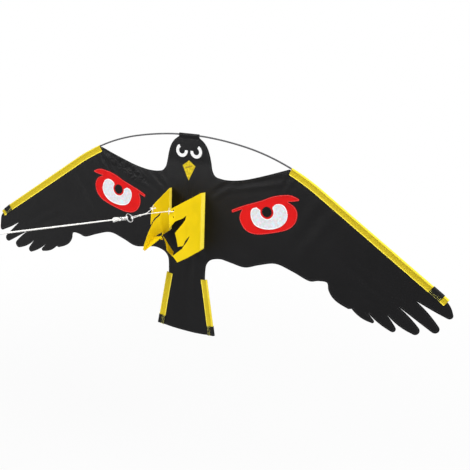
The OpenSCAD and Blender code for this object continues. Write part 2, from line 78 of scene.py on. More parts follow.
# The sail's own frame: x across from its middle, y back from its plane, z up from the talons' pivot line
SAIL_LOW, SAIL_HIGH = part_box("sail")
SAIL_PLACE = Vector((0, (SAIL_LOW.y + SAIL_HIGH.y) / 2, JOINTS["left_talon_swing"]["pos_m"][2]))
SAIL_FACE = SAIL_LOW.y - SAIL_PLACE.y

# The bow: radius, slope at its start and slope at its end, in millimetres and degrees
POCKET_HALF = 27
BOW_HEIGHT = 229.5
BOW_ARCS = ((300, 0, 4), (850, 4, 11), (530, 11, 33.5))
SLEEVE_SLOPE = 24
WING_RUN = 356
ROD_INSET = 5
# The tail's rods, from their top to their bottom
TAIL_TOP = (57, -128)
TAIL_END = (82.5, -274)
TAIL_LENGTH = (Vector(TAIL_END) - Vector(TAIL_TOP)).length

# Outline of a talon, as distance from its fold and height, in millimetres
TALON_TOP = 95
TALON_LOW = -46
TALON_EDGE = (
    (0, TALON_LOW), (0, TALON_TOP), (12, 96), (112, 75), (118, 71), (124, 60), (128, 31),
    (104, 41), (76, 44), (63, 49), (67, 38), (111, 17), (105, -1), (101, -18),
    (79, -22), (71, -12), (50, -4), (56, -13), (74, -32), (104, -44), (90, -63), (4, -48),
)
TALON_LEAN = 11
# Holes of a talon: distance from its fold, height and radius
TOW_HOLE = (109.5, 68, 2.6)
SPARE_HOLE = (109.5, 53, 1.8)


def length_prop(name, description, default, low, high):
    """A length that a user may change, given in millimetres"""
    return FloatProperty(
        name=name, description=description, default=default * MM, min=low * MM, max=high * MM,
        subtype="DISTANCE", unit="LENGTH",
    )


class KiteSizes(bpy.types.PropertyGroup):
    """Sizes of the kite's cloth, cords and fittings"""

    cell: length_prop("Cloth cell", "Side of the squares that the cloth is cut into", 5, 2, 20)
    cloth_t: length_prop("Cloth", "Thickness of the sail cloth", 0.5, 0.1, 2)
    patch_t: length_prop("Patch", "Thickness of the sewn-on pictures", 0.5, 0.1, 2)
    tape_t: length_prop("Tape", "Thickness of the sleeve tape", 0.6, 0.2, 2)
    tape_w: length_prop("Tape width", "Width of the sleeve tape from the rod's axis inwards", 15, 8, 30)
    rod_d: length_prop("Rod", "Diameter of the rods", 4, 2, 8)
    line_d: length_prop("Line", "Diameter of the line", 3, 1, 6)
    bridle_d: length_prop("Bridle", "Diameter of the bridle cord", 1.6, 0.5, 4)
    stitch_l: length_prop("Stitch", "Length of a stitch", 3, 1, 8)
    billow: length_prop("Billow", "How far the wind presses the sail back between its rods", 3, 0, 20)
    wrinkle: FloatProperty(
        name="Wrinkles", description="Depth of the wrinkles, as a share of their drawn depth",
        default=1, min=0, max=3,
    )
    cord_sides: IntProperty(
        name="Cord sides", description="Sides of a cord's tube", default=12, min=6, max=32,
    )


def colour_prop(name, description, default):
    """A colour that a user may change, as it renders"""
    return FloatVectorProperty(
        name=name, description=description, default=default, size=3, min=0, max=1, subtype="COLOR",
    )


class KiteColours(bpy.types.PropertyGroup):
    """Colours of the kite's materials"""

    sail: colour_prop("Sail", "Coated black cloth", (0.0026, 0.0025, 0.0029))
    tape: colour_prop("Tape", "Yellow woven tape", (0.57, 0.43, 0.010))
    talon: colour_prop("Talons", "Yellow coated cloth", (0.92, 0.71, 0.008))
    red: colour_prop("Red", "Red cloth of the wing eyes", (0.57, 0.006, 0.006))
    white: colour_prop("White", "White cloth of the head's eyes", (0.74, 0.74, 0.74))
    pearl: colour_prop("Pearl", "Pearly film of the wing eyes", (0.54, 0.53, 0.54))
    cord: colour_prop("Cord", "White cords", (0.84, 0.83, 0.80))
    rod: colour_prop("Rod", "Dark fibreglass", (0.040, 0.040, 0.044))
    steel: colour_prop("Steel", "Plated wire and swivel", (0.60, 0.60, 0.60))
    webbing: colour_prop("Webbing", "Black webbing", (0.009, 0.009, 0.009))


class Field:
    """A socket's value, which adds Math nodes when it is reckoned with"""

    def __init__(self, finish, socket):
        self.finish = finish
        self.socket = socket

    def __add__(self, other):
        return self.finish.math("ADD", self, other)

    def __sub__(self, other):
        return self.finish.math("SUBTRACT", self, other)

    def __rsub__(self, other):
        return self.finish.math("SUBTRACT", other, self)

    def __mul__(self, other):
        return self.finish.math("MULTIPLY", self, other)

    def __truediv__(self, other):
        return self.finish.math("DIVIDE", self, other)

    def __rtruediv__(self, other):
        return self.finish.math("DIVIDE", other, self)

    def __pow__(self, other):
        return self.finish.math("POWER", self, other)

    __radd__ = __add__
    __rmul__ = __mul__

    def sin(self):
        return self.finish.math("SINE", self)

    def fract(self):
        return self.finish.math("FRACT", self)

    def size(self):
        return self.finish.math("ABSOLUTE", self)

    def between(self, low, high):
        """0 below low, 1 above high, and a smooth rise between them"""
        return self.finish.node(
            "ShaderNodeMapRange", {"interpolation_type": "SMOOTHSTEP"},
            {"Value": self, "From Min": low, "From Max": high},
        )


class Nodes:
    """A node tree that is built from expressions on fields"""

    def __init__(self, tree):
        self.tree = tree

    def node(self, kind, settings=None, inputs=None, output=0):
        """Adds a node, sets it up, feeds its sockets and returns one of its outputs as a field"""
        made = self.tree.nodes.new(kind)
        for name, value in (settings or {}).items():
            setattr(made, name, value)
        for key, value in (inputs or {}).items():
            self.feed(made.inputs[key], value)
        return Field(self, made.outputs[output])

    def feed(self, socket, value):
        """Links a field to a socket, or sets the socket to a number or colour"""
        if isinstance(value, Field):
            self.tree.links.new(value.socket, socket)
        else:
            socket.default_value = value

    def math(self, operation, *values):
        return self.node("ShaderNodeMath", {"operation": operation}, dict(enumerate(values)))

    def mix(self, share, first, second):
        """A colour between two others"""
        first, second = (c if isinstance(c, Field) else (*c, 1) for c in (first, second))
        return self.node(
            "ShaderNodeMix", {"data_type": "RGBA", "clamp_factor": True},
            {0: share, 6: first, 7: second}, output=2,
        )

    def place(self, scale=(1, 1, 1)):
        """Object coordinates, scaled, in metres"""
        at_object = self.node("ShaderNodeTexCoord", output="Object")
        return self.node("ShaderNodeMapping", {}, {"Vector": at_object, "Scale": scale})

    def parts(self, kind, value):
        """The three parts of a vector or a colour"""
        split = self.node(kind, {}, {0: value})
        return [Field(self, out) for out in split.socket.node.outputs]

    def axes(self, vector):
        return self.parts("ShaderNodeSeparateXYZ", vector)

    def attribute(self, name):
        """A number that the piece's mesh carries"""
        return self.node("ShaderNodeAttribute", {"attribute_name": name}, output="Fac")

    def strip(self):
        """How far along and across its strip or sheet a point lies"""
        return self.attribute("along"), self.attribute("across")

    def noise(self, vector, scale, detail):
        return self.node("ShaderNodeTexNoise", {}, {"Vector": vector, "Scale": scale, "Detail": detail})


class Finish(Nodes):
    """A material with one surface shader"""

    def __init__(self, name, colour, roughness=0.5, metallic=0.0, specular=0.5, sheen=0.0):
        self.material = bpy.data.materials.new(name)
        self.material.use_nodes = True
        super().__init__(self.material.node_tree)
        self.surface = self.tree.nodes["Principled BSDF"]
        for socket, value in (
            ("Base Color", (*colour, 1)), ("Roughness", roughness), ("Metallic", metallic),
            ("Specular IOR Level", specular), ("Sheen Weight", sheen),
        ):
            self.surface.inputs[socket].default_value = value

    def set(self, socket, value):
        self.feed(self.surface.inputs[socket], value)
        return self

    def dress(self, mask, colour, dark, light, roughness, spread):
        """Lets the colour and the roughness follow a mask"""
        self.set("Base Color", shades(self, mask, colour, dark, light))
        return self.set("Roughness", roughness + mask * spread)

    def blend(self, share, shader):
        """Mixes another shader over the surface's own, by a share"""
        mixed = self.node("ShaderNodeMixShader", {}, {
            0: share, 1: Field(self, self.surface.outputs[0]), 2: shader,
        })
        self.feed(self.tree.nodes["Material Output"].inputs["Surface"], mixed)
        return self

    def bump(self, height, distance):
        """Raises the surface by a height field, where 1 stands for the distance in metres"""
        lift = self.node(
            "ShaderNodeBump", {}, {"Height": height, "Distance": distance, "Strength": 1.0}, output="Normal",
        )
        return self.set("Normal", lift)


FINISHES = {}


def finish(name):
    """The material of that name, built when it is first asked for"""
    if name not in FINISHES:
        FINISHES[name] = FINISH_MAKERS[name](bpy.context.scene.kite_colours).material
    return FINISHES[name]


def shade(colour, share):
    """A colour made lighter or darker by a share"""
    return tuple(min(1.0, c * share) for c in colour)


def shades(made, height, colour, dark, light):
    """A colour that runs from a darker to a lighter share of itself with a height"""
    return made.mix(height, shade(colour, dark), shade(colour, light))


def weave(first, second, threads):
    """Height of a plain weave between two directions, with so many threads to the metre"""
    return (first * (threads * math.tau)).sin() * (second * (threads * math.tau)).sin()


def ripstop(made, threads=1100.0, square=0.006):
    """Height of a plain weave with thicker threads in squares, in the plane of the sail"""
    across, _, up = made.axes(made.place())
    ribs = [((axis / square).fract() - 0.5).size().between(0.42, 0.5) for axis in (across, up)]
    return weave(across, up, threads) * 0.25 + made.math("MAXIMUM", *ribs) * 0.5


# The pleats along the left shoulder: their middle in the sail's frame, the way they run (across and down), and
# how far they reach along and across that way
PLEATS_AT = (-0.185, 0.129)
PLEATS_WAY = (0.887, 0.461)
PLEATS_REACH = (0.085, 0.024)
PLEATS_DEPTH = 58.0


def shoulder_pleats(made):
    """Height of the small pleats that the cloth has along the left shoulder"""
    x, _, z = made.axes(made.place())
    across, up = x - PLEATS_AT[0], z - (SAIL_PLACE.z + PLEATS_AT[1])
    way, fall = PLEATS_WAY
    along, off = across * way - up * fall, across * fall + up * way
    near = ((along / PLEATS_REACH[0]) ** 2 + (off / PLEATS_REACH[1]) ** 2).between(1.0, 0.3)
    return (made.noise(made.place(), 62.0, 2.0) - 0.5).size() * near * PLEATS_DEPTH


def sail_finish(colours):
    """Black coated cloth: a fine weave, a soft sheen and slightly uneven coating"""
    made = Finish("black_coated_cloth", colours.sail, 0.5, specular=0.13)
    patches = made.noise(made.place(), 14.0, 4.0)
    grain = made.noise(made.place(), 420.0, 2.0)
    made.set("Base Color", shades(made, patches, colours.sail, 0.8, 1.5))
    made.set("Roughness", 0.3 + patches * 0.12 + grain * 0.06)
    return made.bump(ripstop(made) + patches * 1.2 + shoulder_pleats(made), 0.00016)


def ribbed(made, ribs, picks):
    """Height of a woven tape: so many ribs along it and picks across it to the metre"""
    along, across = made.strip()
    rib = (across * (ribs * math.tau)).sin() * 0.5 + 0.5
    pick = (along * (picks * math.tau)).sin() * 0.5 + 0.5
    return rib * 0.7 + pick * 0.3


def tape_finish(colours):
    """Yellow woven tape: ribs along its length, olive with painted shade between them and a painted highlight
    on them, brighter along its sewn edge, with a faint painted highlight where it bends round the rod
    """
    made = Finish("yellow_woven_tape", colours.tape, 0.62, specular=0.15, sheen=0.05)
    height = ribbed(made, 480.0, 380.0)
    worn = made.noise(made.place(), 60.0, 4.0)
    # Painted shade between the ribs and a painted highlight on them
    cloth = shades(made, height, colours.tape, 0.74, 1.16)
    cloth = made.mix(worn * 0.5, cloth, shade(colours.tape, 0.9))
    # The edge mark paints the tape brighter along its sewn edge, and paints a highlight where it bends round
    # the rod
    made.set("Base Color", made.mix(made.attribute("edge"), cloth, (0.90, 0.74, 0.06)))
    made.set("Roughness", 0.55 + worn * 0.15)
    return made.bump(height, 0.00018)


def beak_finish(colours):
    """Yellow tape of the beak: olive, mottled and more worn than the sleeves, with painted shade between its
    ribs
    """
    made = Finish("yellow_beak_tape", colours.tape, 0.62, specular=0.12, sheen=0.03)
    height = ribbed(made, 520.0, 700.0)
    worn = made.noise(made.place(), 240.0, 3.0).between(0.35, 0.7)
    # Painted shade between the ribs and a lighter colour on them
    cloth = shades(made, height, colours.tape, 0.6, 0.95)
    made.set("Base Color", made.mix(worn, cloth, shade(colours.tape, 1.2)))
    made.set("Roughness", 0.5 + worn * 0.2)
    return made.bump(height, 0.0002)


def webbing_finish(colours):
    """Black webbing with ribs along its length, painted shade between them and a painted highlight on them"""
    made = Finish("black_webbing", colours.webbing, 0.6, specular=0.1)
    height = ribbed(made, 520.0, 700.0)
    # Painted shade between the ribs and a painted highlight on them
    return made.dress(height, colours.webbing, 0.6, 1.6, 0.5, 0.2).bump(height, 0.0002)


def woven_finish(name, colour, dark, light, specular, sheen):
    """Sewn-on cloth in one colour with a visible weave and faint blotches"""
    made = Finish(name, colour, 0.6, specular=specular, sheen=sheen)
    across, _, up = made.axes(made.place())
    blotch = made.noise(made.place(), 45.0, 4.0)
    made.dress(blotch, colour, dark, light, 0.52, 0.16)
    return made.bump(weave(across, up, 900.0) * 0.5 + blotch, 0.00012)


def pearl_finish(colours):
    """Pearly film: white with faint shifts to rose, green and blue in small crumpled cells"""
    made = Finish("pearly_film", colours.pearl, 0.35)
    cells = made.node(
        "ShaderNodeTexVoronoi", {}, {"Vector": made.place(), "Scale": 270.0}, output="Color",
    )
    first, second, third = made.parts("ShaderNodeSeparateColor", cells)
    tint = made.mix(first, (0.92, 0.56, 0.64), (0.44, 0.86, 0.70))
    tint = made.mix(second * 0.6, tint, (0.50, 0.60, 0.94))
    made.set("Base Color", made.mix(third * 0.9, colours.pearl, tint))
    made.set("Roughness", 0.28 + first * 0.2)
    return made.bump(second, 0.00025)


def talon_finish(colours):
    """Bright yellow coated cloth with a fine weave and faint creases, which lets some light through"""
    made = Finish("yellow_coated_cloth", colours.talon, 0.5, specular=0.15)
    soft = made.noise(made.place(), 30.0, 4.0)
    made.dress(soft, colours.talon, 0.9, 1.06, 0.42, 0.16)
    made.bump(weave(*made.strip(), 850.0) * 0.4 + soft * 1.4, 0.00016)
    return made.blend(0.24, made.node("ShaderNodeBsdfTranslucent", {}, {"Color": (*colours.talon, 1)}))


def hem_finish(colours):
    """The talon's cloth where it is doubled: paler, with a slight rib along the fold"""
    made = Finish("yellow_hem_cloth", colours.talon, 0.5, specular=0.3, sheen=0.05)
    rib = made.attribute("across") * (420.0 * math.tau)
    soft = made.noise(made.place(), 60.0, 4.0)
    made.set("Base Color", made.mix(soft, shade(colours.talon, 0.94), (1.0, 0.83, 0.10)))
    made.set("Roughness", 0.45 + soft * 0.14)
    return made.bump(rib.sin() * 0.4 + soft, 0.00016)


def braid_finish(name, colour, turns, picks):
    """White cord: strands that cross as they go round it, with painted shade where they dip"""
    made = Finish(name, colour, 0.65, specular=0.3, sheen=0.1)
    along, across = made.strip()
    lay, lean = along * (picks * math.tau), across * (turns * math.tau)
    height = made.math("MAXIMUM", (lay + lean).sin(), (lay - lean).sin()) * 0.5 + 0.5
    # Painted shade where the strands dip, and a lighter colour on their crowns
    return made.dress(height, colour, 0.72, 1.06, 0.75, -0.15).bump(height, 0.0003)


def rod_finish(colours):
    """Dark fibreglass with fine streaks along the rod"""
    made = Finish("dark_fibreglass", colours.rod, 0.4, specular=0.4)
    along, across = made.strip()
    grain = made.node("ShaderNodeCombineXYZ", {}, {0: along * 6.0, 1: across * 40.0})
    streak = made.noise(grain, 5.0, 4.0)
    return made.dress(streak, colours.rod, 0.7, 1.5, 0.3, 0.25).bump(streak, 0.00005)


def metal_finish(name, colour, roughness, scale):
    """Plated metal with fine scratches and slightly dull patches"""
    made = Finish(name, colour, roughness, metallic=1.0)
    dull = made.noise(made.place(), scale, 4.0)
    scratch = made.noise(made.place(scale=(1, 6, 1)), scale * 6, 2.0)
    return made.dress(dull, colour, 0.8, 1.15, roughness, 0.15).bump(scratch, 0.00002)


THREADS = {
    "black_thread": (0.02, 0.02, 0.021), "yellow_thread": (0.70, 0.58, 0.05),
    "lime_thread": (0.80, 0.74, 0.12), "brown_thread": (0.16, 0.075, 0.012),
    "amber_thread": (0.60, 0.36, 0.02), "red_thread": (0.70, 0.03, 0.028),
    "white_thread": (0.88, 0.89, 0.88),
}


def thread_finish(name):
    """Sewing thread: twisted, slightly glossy"""
    colour = THREADS[name]
    made = Finish(name, colour, 0.5, specular=0.35, sheen=0.1)
    twist = made.noise(made.place(), 900.0, 2.0)
    made.set("Base Color", shades(made, twist, colour, 0.7, 1.2))
    return made.bump(twist, 0.0001)


FINISH_MAKERS = {
    "sail": sail_finish, "tape": tape_finish, "beak": beak_finish, "webbing": webbing_finish,
    "pearl": pearl_finish, "talon": talon_finish, "hem": hem_finish, "rod": rod_finish,
    "red": lambda c: woven_finish("red_cloth", c.red, 0.9, 1.1, 0.1, 0.0),
    "white": lambda c: woven_finish("white_cloth", c.white, 0.95, 1.04, 0.3, 0.1),
    "black_patch": lambda c: woven_finish("black_cloth_patch", shade(c.sail, 0.9), 0.8, 1.2, 0.11, 0.0),
    "line": lambda c: braid_finish("white_braided_line", c.cord, 4.0, 260.0),
    "bridle": lambda c: braid_finish("white_bridle_twine", c.cord, 2.0, 420.0),
    "ring": lambda c: metal_finish("plated_ring_wire", c.steel, 0.22, 180.0),
    "swivel": lambda c: metal_finish("plated_swivel", shade(c.steel, 1.08), 0.2, 220.0),
    "ferrule": lambda c: metal_finish("plain_aluminium", c.steel, 0.35, 90.0),
    **{name: lambda _, name=name: thread_finish(name) for name in THREADS},
}


def at(x, y, z):
    """A point of the sail's own frame, given in metres, in the row frame"""
    return SAIL_PLACE + Vector((x, y, z))


def smooth(value, low, high):
    """0 below low, 1 above high, and a smooth rise between them"""
    t = min(1.0, max(0.0, (value - low) / (high - low)))
    return t * t * (3 - 2 * t)


def spaced(count, first=0.0, last=1.0):
    """Evenly spaced values from the first to the last, in so many steps"""
    return [first + (last - first) * i / count for i in range(count + 1)]


def round_turn(count):
    """Evenly spaced angles of one full turn"""
    return [math.tau * i / count for i in range(count)]


def slope_way(slope):
    """The way out of the sail from a rod that falls by a slope in degrees, across and up"""
    return Vector((math.sin(math.radians(slope)), math.cos(math.radians(slope))))


def bow_path(first_slope, last_run, step):
    """Points of the right half of the bow from a slope on, as (x, z, slope), about a step apart"""
    path = []
    start = Vector((POCKET_HALF, BOW_HEIGHT))
    for radius, low, high in BOW_ARCS:
        centre = start - radius * slope_way(low)
        for slope in spaced(max(2, round(radius * math.radians(high - low) / step)), low, high):
            if slope >= first_slope and not (path and slope == low):
                path.append((*(centre + radius * slope_way(slope)), slope))
        start = centre + radius * slope_way(high)
    out = slope_way(slope)
    runs = spaced(max(2, round(last_run / step)), 0, last_run)[1:]
    return path + [(*(start + Vector((out.y, -out.x)) * run), slope) for run in runs]


def tail_path(first, last, step):
    """Points of the right tail rod between two distances from its top, as (x, z, slope)"""
    top = Vector(TAIL_TOP)
    heading = (Vector(TAIL_END) - top).normalized()
    slope = math.degrees(math.atan2(-heading.y, heading.x))
    places = spaced(max(2, round((last - first) / step)), first, last)
    return [(*(top + heading * s), slope) for s in places]


WING_PATH = bow_path(SLEEVE_SLOPE, WING_RUN, 6)
KEEL_X = abs(JOINTS["left_talon_swing"]["pos_m"][0]) / MM

# Lines that hold the sail flat, on its right half, in millimetres, the leading edge first
LEADING_LINES = (
    (WING_PATH[0][:2], WING_PATH[len(WING_PATH) // 4][:2]),
    (WING_PATH[len(WING_PATH) // 4][:2], WING_PATH[-1][:2]),
)
HELD_LINES = (
    *LEADING_LINES,
    (TAIL_TOP, TAIL_END),
    ((KEEL_X, TALON_LOW), (KEEL_X, TALON_TOP)),
    ((0, BOW_HEIGHT), (POCKET_HALF, BOW_HEIGHT)),
)
# Distances from those lines over which the sail comes free to billow, and to wrinkle
BILLOW_FREE = (9, 95)
WRINKLE_FREE = (4, 22)

# Wrinkles: middle across and up, direction in degrees, reach along and across, wavelength and depth
WRINKLES = (
    (-236, 158, -26, 30, 15, 24, 1.7),
    (-172, 126, -30, 26, 15, 24, 1.8),
    (-128, 104, -34, 20, 13, 20, 1.6),
    (-255, 140, -58, 42, 22, 20, 1.6),
    (-330, 70, -58, 80, 40, 44, 0.8),
    (188, 138, 16, 70, 20, 24, 1.0),
    (262, 150, 60, 40, 18, 19, 0.8),
    (330, 60, 58, 90, 44, 48, 0.7),
    (92, 112, 40, 40, 22, 24, 0.9),
    (-88, 112, -40, 40, 22, 22, 1.0),
    (0, 92, 90, 34, 30, 13, 1.2),
    (10, -90, 88, 60, 34, 30, 0.7),
    (-40, -20, 70, 60, 30, 34, 0.6),
    (470, -60, -30, 60, 30, 30, 0.8),
    (-470, -60, 30, 60, 30, 30, 0.8),
)

# How the outer part of the left wing sits apart from the right one's mirror image, in millimetres: the
# leading edge rises, the tip lies further in, the first feather drops and the others spread out
LEFT_EDGE_RISE = 10
LEFT_TIP_IN = 5
LEFT_FEATHER_DROP = 8
LEFT_FEATHERS_OUT = 4
# Distances from the middle over which each of them sets in
LEFT_EDGE_SPAN, LEFT_TIP_SPAN = (300, 650), (590, 650)
LEFT_FEATHER_SPAN, LEFT_FEATHERS_SPAN = (560, 635), (430, 500)
# Distances from the leading edge over which each of them fades out or sets in
LEFT_EDGE_FADE, LEFT_TIP_FADE = (20, 44), (30, 50)
LEFT_FEATHER_START, LEFT_FEATHER_FADE = (16, 36), (46, 58)
LEFT_FEATHERS_START = (50, 90)


def line_distance(point, first, last):
    """Distance of a point from a straight line between two others"""
    a, b, p = Vector(first), Vector(last), Vector(point)
    t = min(1.0, max(0.0, (p - a).dot(b - a) / (b - a).length_squared))
    return (p - a - (b - a) * t).length


def drape(x, z):
    """How far the sail is pressed back at a point of its own frame, in metres"""
    sizes = bpy.context.scene.kite_sizes
    across, up = x / MM, z / MM
    near = min(line_distance((abs(across), up), *held) for held in HELD_LINES)
    uneven = 0.85 + 0.3 * noise.noise(Vector((across / 130, up / 130, 0)))
    lift = sizes.billow * smooth(near, *BILLOW_FREE) * uneven
    for middle_x, middle_z, turn, reach, spread, wave, depth in WRINKLES:
        along = Vector((math.cos(math.radians(turn)), math.sin(math.radians(turn))))
        from_middle = Vector((across - middle_x, up - middle_z))
        u = from_middle.dot(along)
        v = from_middle.dot(Vector((-along.y, along.x)))
        fade = math.exp(-((u / reach) ** 2) - (v / spread) ** 2)
        if fade > 0.003:
            bend = 0.12 * u + 6 * noise.noise(Vector((u / 40, middle_x, middle_z)))
            fold = math.cos(math.tau * (v + bend * 0.25) / wave)
            lift += sizes.wrinkle * depth * MM * fade * fold * smooth(near, *WRINKLE_FREE)
    return lift


def settle(bm):
    """Lifts the left wing's leading edge towards its tip and spreads the feathers below it"""
    for v in bm.verts:
        local = (v.co - SAIL_PLACE) / MM
        out = -local.x
        if out > LEFT_EDGE_SPAN[0]:
            below = min(line_distance((out, local.z), *held) for held in LEADING_LINES)
            share = (out - LEFT_EDGE_SPAN[0]) / (LEFT_EDGE_SPAN[1] - LEFT_EDGE_SPAN[0])
            rise = LEFT_EDGE_RISE * share * (1 - smooth(below, *LEFT_EDGE_FADE))
            feather = smooth(below, *LEFT_FEATHER_START) * (1 - smooth(below, *LEFT_FEATHER_FADE))
            rise -= LEFT_FEATHER_DROP * smooth(out, *LEFT_FEATHER_SPAN) * feather
            shift = LEFT_TIP_IN * smooth(out, *LEFT_TIP_SPAN) * (1 - smooth(below, *LEFT_TIP_FADE))
            others = smooth(below, *LEFT_FEATHERS_START) * smooth(out, *LEFT_FEATHERS_SPAN)
            shift -= LEFT_FEATHERS_OUT * others
            v.co += Vector((shift, 0, rise)) * MM


def add_object(name, data):
    """A new object, linked to the scene"""
    made = bpy.data.objects.new(name, data)
    bpy.context.scene.collection.objects.link(made)
    return made


def piece(name, bm, material, body, slot, nodes=(), sharp=40):
    """Makes an object of a finished bmesh, which rides on a body and stands for some nodes"""
    if body == "kite":
        settle(bm)
    bmesh.ops.remove_doubles(bm, verts=bm.verts, dist=1e-7)
    bmesh.ops.recalc_face_normals(bm, faces=bm.faces)
    for face in bm.faces:
        face.smooth = True
    mesh = bpy.data.meshes.new(name)
    bm.to_mesh(mesh)
    bm.free()
    mesh.set_sharp_from_angle(angle=math.radians(sharp))
    mesh.materials.append(finish(material))
    made = add_object(name, mesh)
    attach(made, body)
    if nodes:
        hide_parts(*nodes)
    return made


def stitches(name, bm, thread, body, slot):
    """Makes an object of rows of stitches"""
    return piece(name, bm, thread, body, slot, sharp=180)


# The edge mark paints a tape brighter along its sewn edge, and paints a highlight where it bends round the rod
MARKS = ("along", "across", "edge")


def new_mesh():
    """An empty bmesh whose vertices carry their place along and across a strip, and its edge mark: the tape
    painted brighter along its sewn edge and with a painted highlight where it bends round the rod
    """
    bm = bmesh.new()
    for name in MARKS:
        bm.verts.layers.float.new(name)
    return bm


def marks(bm):
    return [bm.verts.layers.float[name] for name in MARKS]


def mark_sheet(bm, low):
    """Marks a flat sheet's own directions, up and across from its lowest corner"""
    along, across, _ = marks(bm)
    for v in bm.verts:
        v[along], v[across] = v.co.z - low.z, v.co.x - low.x


def cut(bm, geom, point, normal):
    bmesh.ops.bisect_plane(bm, geom=geom, dist=1e-6, plane_co=point, plane_no=normal)


def cut_grid(bm, origin, directions, cell):
    """Cuts flat faces along planes through every multiple of the cell, in each direction"""
    for direction in directions:
        reach = [(v.co - origin).dot(direction) / cell for v in bm.verts]
        for i in range(math.ceil(min(reach)), math.floor(max(reach)) + 1):
            cut(bm, bm.verts[:] + bm.edges[:] + bm.faces[:], origin + direction * (i * cell), direction)


def thicken(bm, shift):
    """Gives a flat sheet its thickness by a copy of its faces that is moved and joined on"""
    made = bmesh.ops.extrude_face_region(bm, geom=bm.faces[:], use_keep_orig=True)["geom"]
    bmesh.ops.translate(bm, vec=shift, verts=[e for e in made if isinstance(e, bmesh.types.BMVert)])


def flat_face(node, toward):
    """The flat side of a node's solid that looks in a direction, as one face"""
    bm = new_mesh()
    bm.from_mesh(frame["nodes"][node].data)
    bmesh.ops.remove_doubles(bm, verts=bm.verts, dist=1e-6)
    away = [f for f in bm.faces if f.normal.dot(toward) < 0.99]
    bmesh.ops.delete(bm, geom=away, context="FACES")
    bmesh.ops.dissolve_limit(bm, angle_limit=0.01, verts=bm.verts, edges=bm.edges)
    bm.faces.ensure_lookup_table()
    return bm


def grow(face, amount):
    """Moves the edge of a flat face outwards in its plane"""
    places = [v.co.copy() for v in face.verts]
    normal = face.normal.copy()
    for i, v in enumerate(face.verts):
        before = (places[i] - places[i - 1]).normalized()
        after = (places[(i + 1) % len(places)] - places[i]).normalized()
        v.co = places[i] + (before + after).cross(normal).normalized() * amount


def draw_in(face, amount, heading, reach):
    """Draws the inner end of a left brow outwards along itself"""
    tip = max(v.co.x for v in face.verts)
    for v in face.verts:
        v.co += heading * (amount * smooth(v.co.x, tip - reach, tip))


def sewn_sheet(node, toward, thickness, wider=0.0, brow=None):
    """A piece of cloth with the outline of a node's face, which follows the sail, and that outline"""
    bm = flat_face(node, toward)
    if wider:
        grow(bm.faces[0], wider)
    if brow:
        draw_in(bm.faces[0], *brow)
    outline = [v.co.copy() for v in bm.faces[0].verts]
    cut_grid(bm, SAIL_PLACE, (RIGHT, UP), bpy.context.scene.kite_sizes.cell)
    thicken(bm, -toward * thickness)
    for v in bm.verts:
        local = v.co - SAIL_PLACE
        v.co.y += drape(local.x, local.z)
    return bm, outline


def inset_row(outline, inset, pitch):
    """Points along a closed flat outline, an inset inside it and a pitch apart, with their headings"""
    flat = np.array([(p.x, p.z) for p in outline])
    nxt = np.roll(flat, -1, axis=0)
    step = nxt - flat
    size = np.linalg.norm(step, axis=1)
    turn = np.sign((flat[:, 0] * nxt[:, 1] - nxt[:, 0] * flat[:, 1]).sum())
    ends = np.concatenate([[0], np.cumsum(size)])
    row = []
    for s in np.arange(pitch / 2, ends[-1], pitch):
        k = min(int(np.searchsorted(ends, s, side="right")) - 1, len(flat) - 1)
        heading = step[k] / size[k]
        spot = flat[k] + heading * (s - ends[k]) + turn * inset * np.array([-heading[1], heading[0]])
        t = np.clip(((spot - flat) * step).sum(1) / np.maximum(size**2, 1e-12), 0, 1)
        if np.linalg.norm(spot - flat - t[:, None] * step, axis=1).min() > 0.93 * inset:
            row.append((Vector(spot), Vector(heading)))
    return row


# Length of a stitch as a share of the pitch of its row, and how far its middle stands off the cloth
STITCH_SHARE = 0.72
PROUD = 0.1 * MM


def stitch(bm, middle, heading, length, radius):
    """One thread stitch: a small rounded bead drawn out along its heading"""
    turn = heading.to_track_quat("X", "Z").to_matrix().to_4x4()
    scale = Matrix.Diagonal((length / 2, radius, radius, 1))
    bmesh.ops.create_icosphere(
        bm, subdivisions=1, radius=1, matrix=Matrix.Translation(middle) @ turn @ scale,
    )


def both_faces(half, proud=PROUD):
    """Heights a little proud of the two faces of a sheet of that half thickness"""
    return -half - proud, half + proud


def sew_outline(bm, outline, inset, faces, pitch, radius=0.28 * MM, satin=0.0):
    """A row of stitches inside an outline, on the given heights over the sail's plane. Satin stitches
    lie across the row, with the length that is given."""
    for spot, heading in inset_row(outline, inset, pitch):
        x, z = spot.x - SAIL_PLACE.x, spot.y - SAIL_PLACE.z
        way = Vector((-heading.y, 0, heading.x)) if satin else Vector((heading.x, 0, heading.y))
        for height in faces:
            stitch(bm, at(x, height + drape(x, z), z), way, satin or pitch * STITCH_SHARE, radius)


def strip_frames(path, side):
    """Frames along a rod in the sail's plane: out of the sail's edge, back, and along the rod"""
    frames = []
    for x, z, slope in path:
        sine, cosine = slope_way(slope)
        out, along = Vector((side * sine, 0, cosine)), Vector((side * cosine, 0, -sine))
        turn = Matrix((out, -FRONT, along)).transposed().to_4x4()
        frames.append(Matrix.Translation(at(side * x * MM, 0, z * MM)) @ turn)
    return frames


def sew_strip(bm, path, side, inward, faces, pitch, radius=0.3 * MM):
    """A row of stitches along a rod's strip, an inward distance from the rod's axis"""
    frames = strip_frames(path, side)
    for before, after in zip(frames, frames[1:]):
        gap = after.translation - before.translation
        count = max(1, round(gap.length / pitch))
        for i in range(count):
            middle = before.lerp(after, (i + 0.5) / count)
            for height in faces:
                spot = middle @ Vector((-inward, height, 0))
                stitch(bm, spot, gap.normalized(), pitch * STITCH_SHARE, radius)


def tube_frames(points, closed=False):
    """Frames along a path of points that turn with it as little as they can"""
    count = len(points)
    frames, across = [], None
    for i, point in enumerate(points):
        before = points[i - 1] if closed or i else point
        after = points[(i + 1) % count] if closed or i < count - 1 else point
        heading = (after - before).normalized()
        if across is None:
            across = heading.orthogonal()
        across = (across - heading * across.dot(heading)).normalized()
        turn = Matrix((across, heading.cross(across), heading)).transposed().to_4x4()
        frames.append(Matrix.Translation(point) @ turn)
    return frames


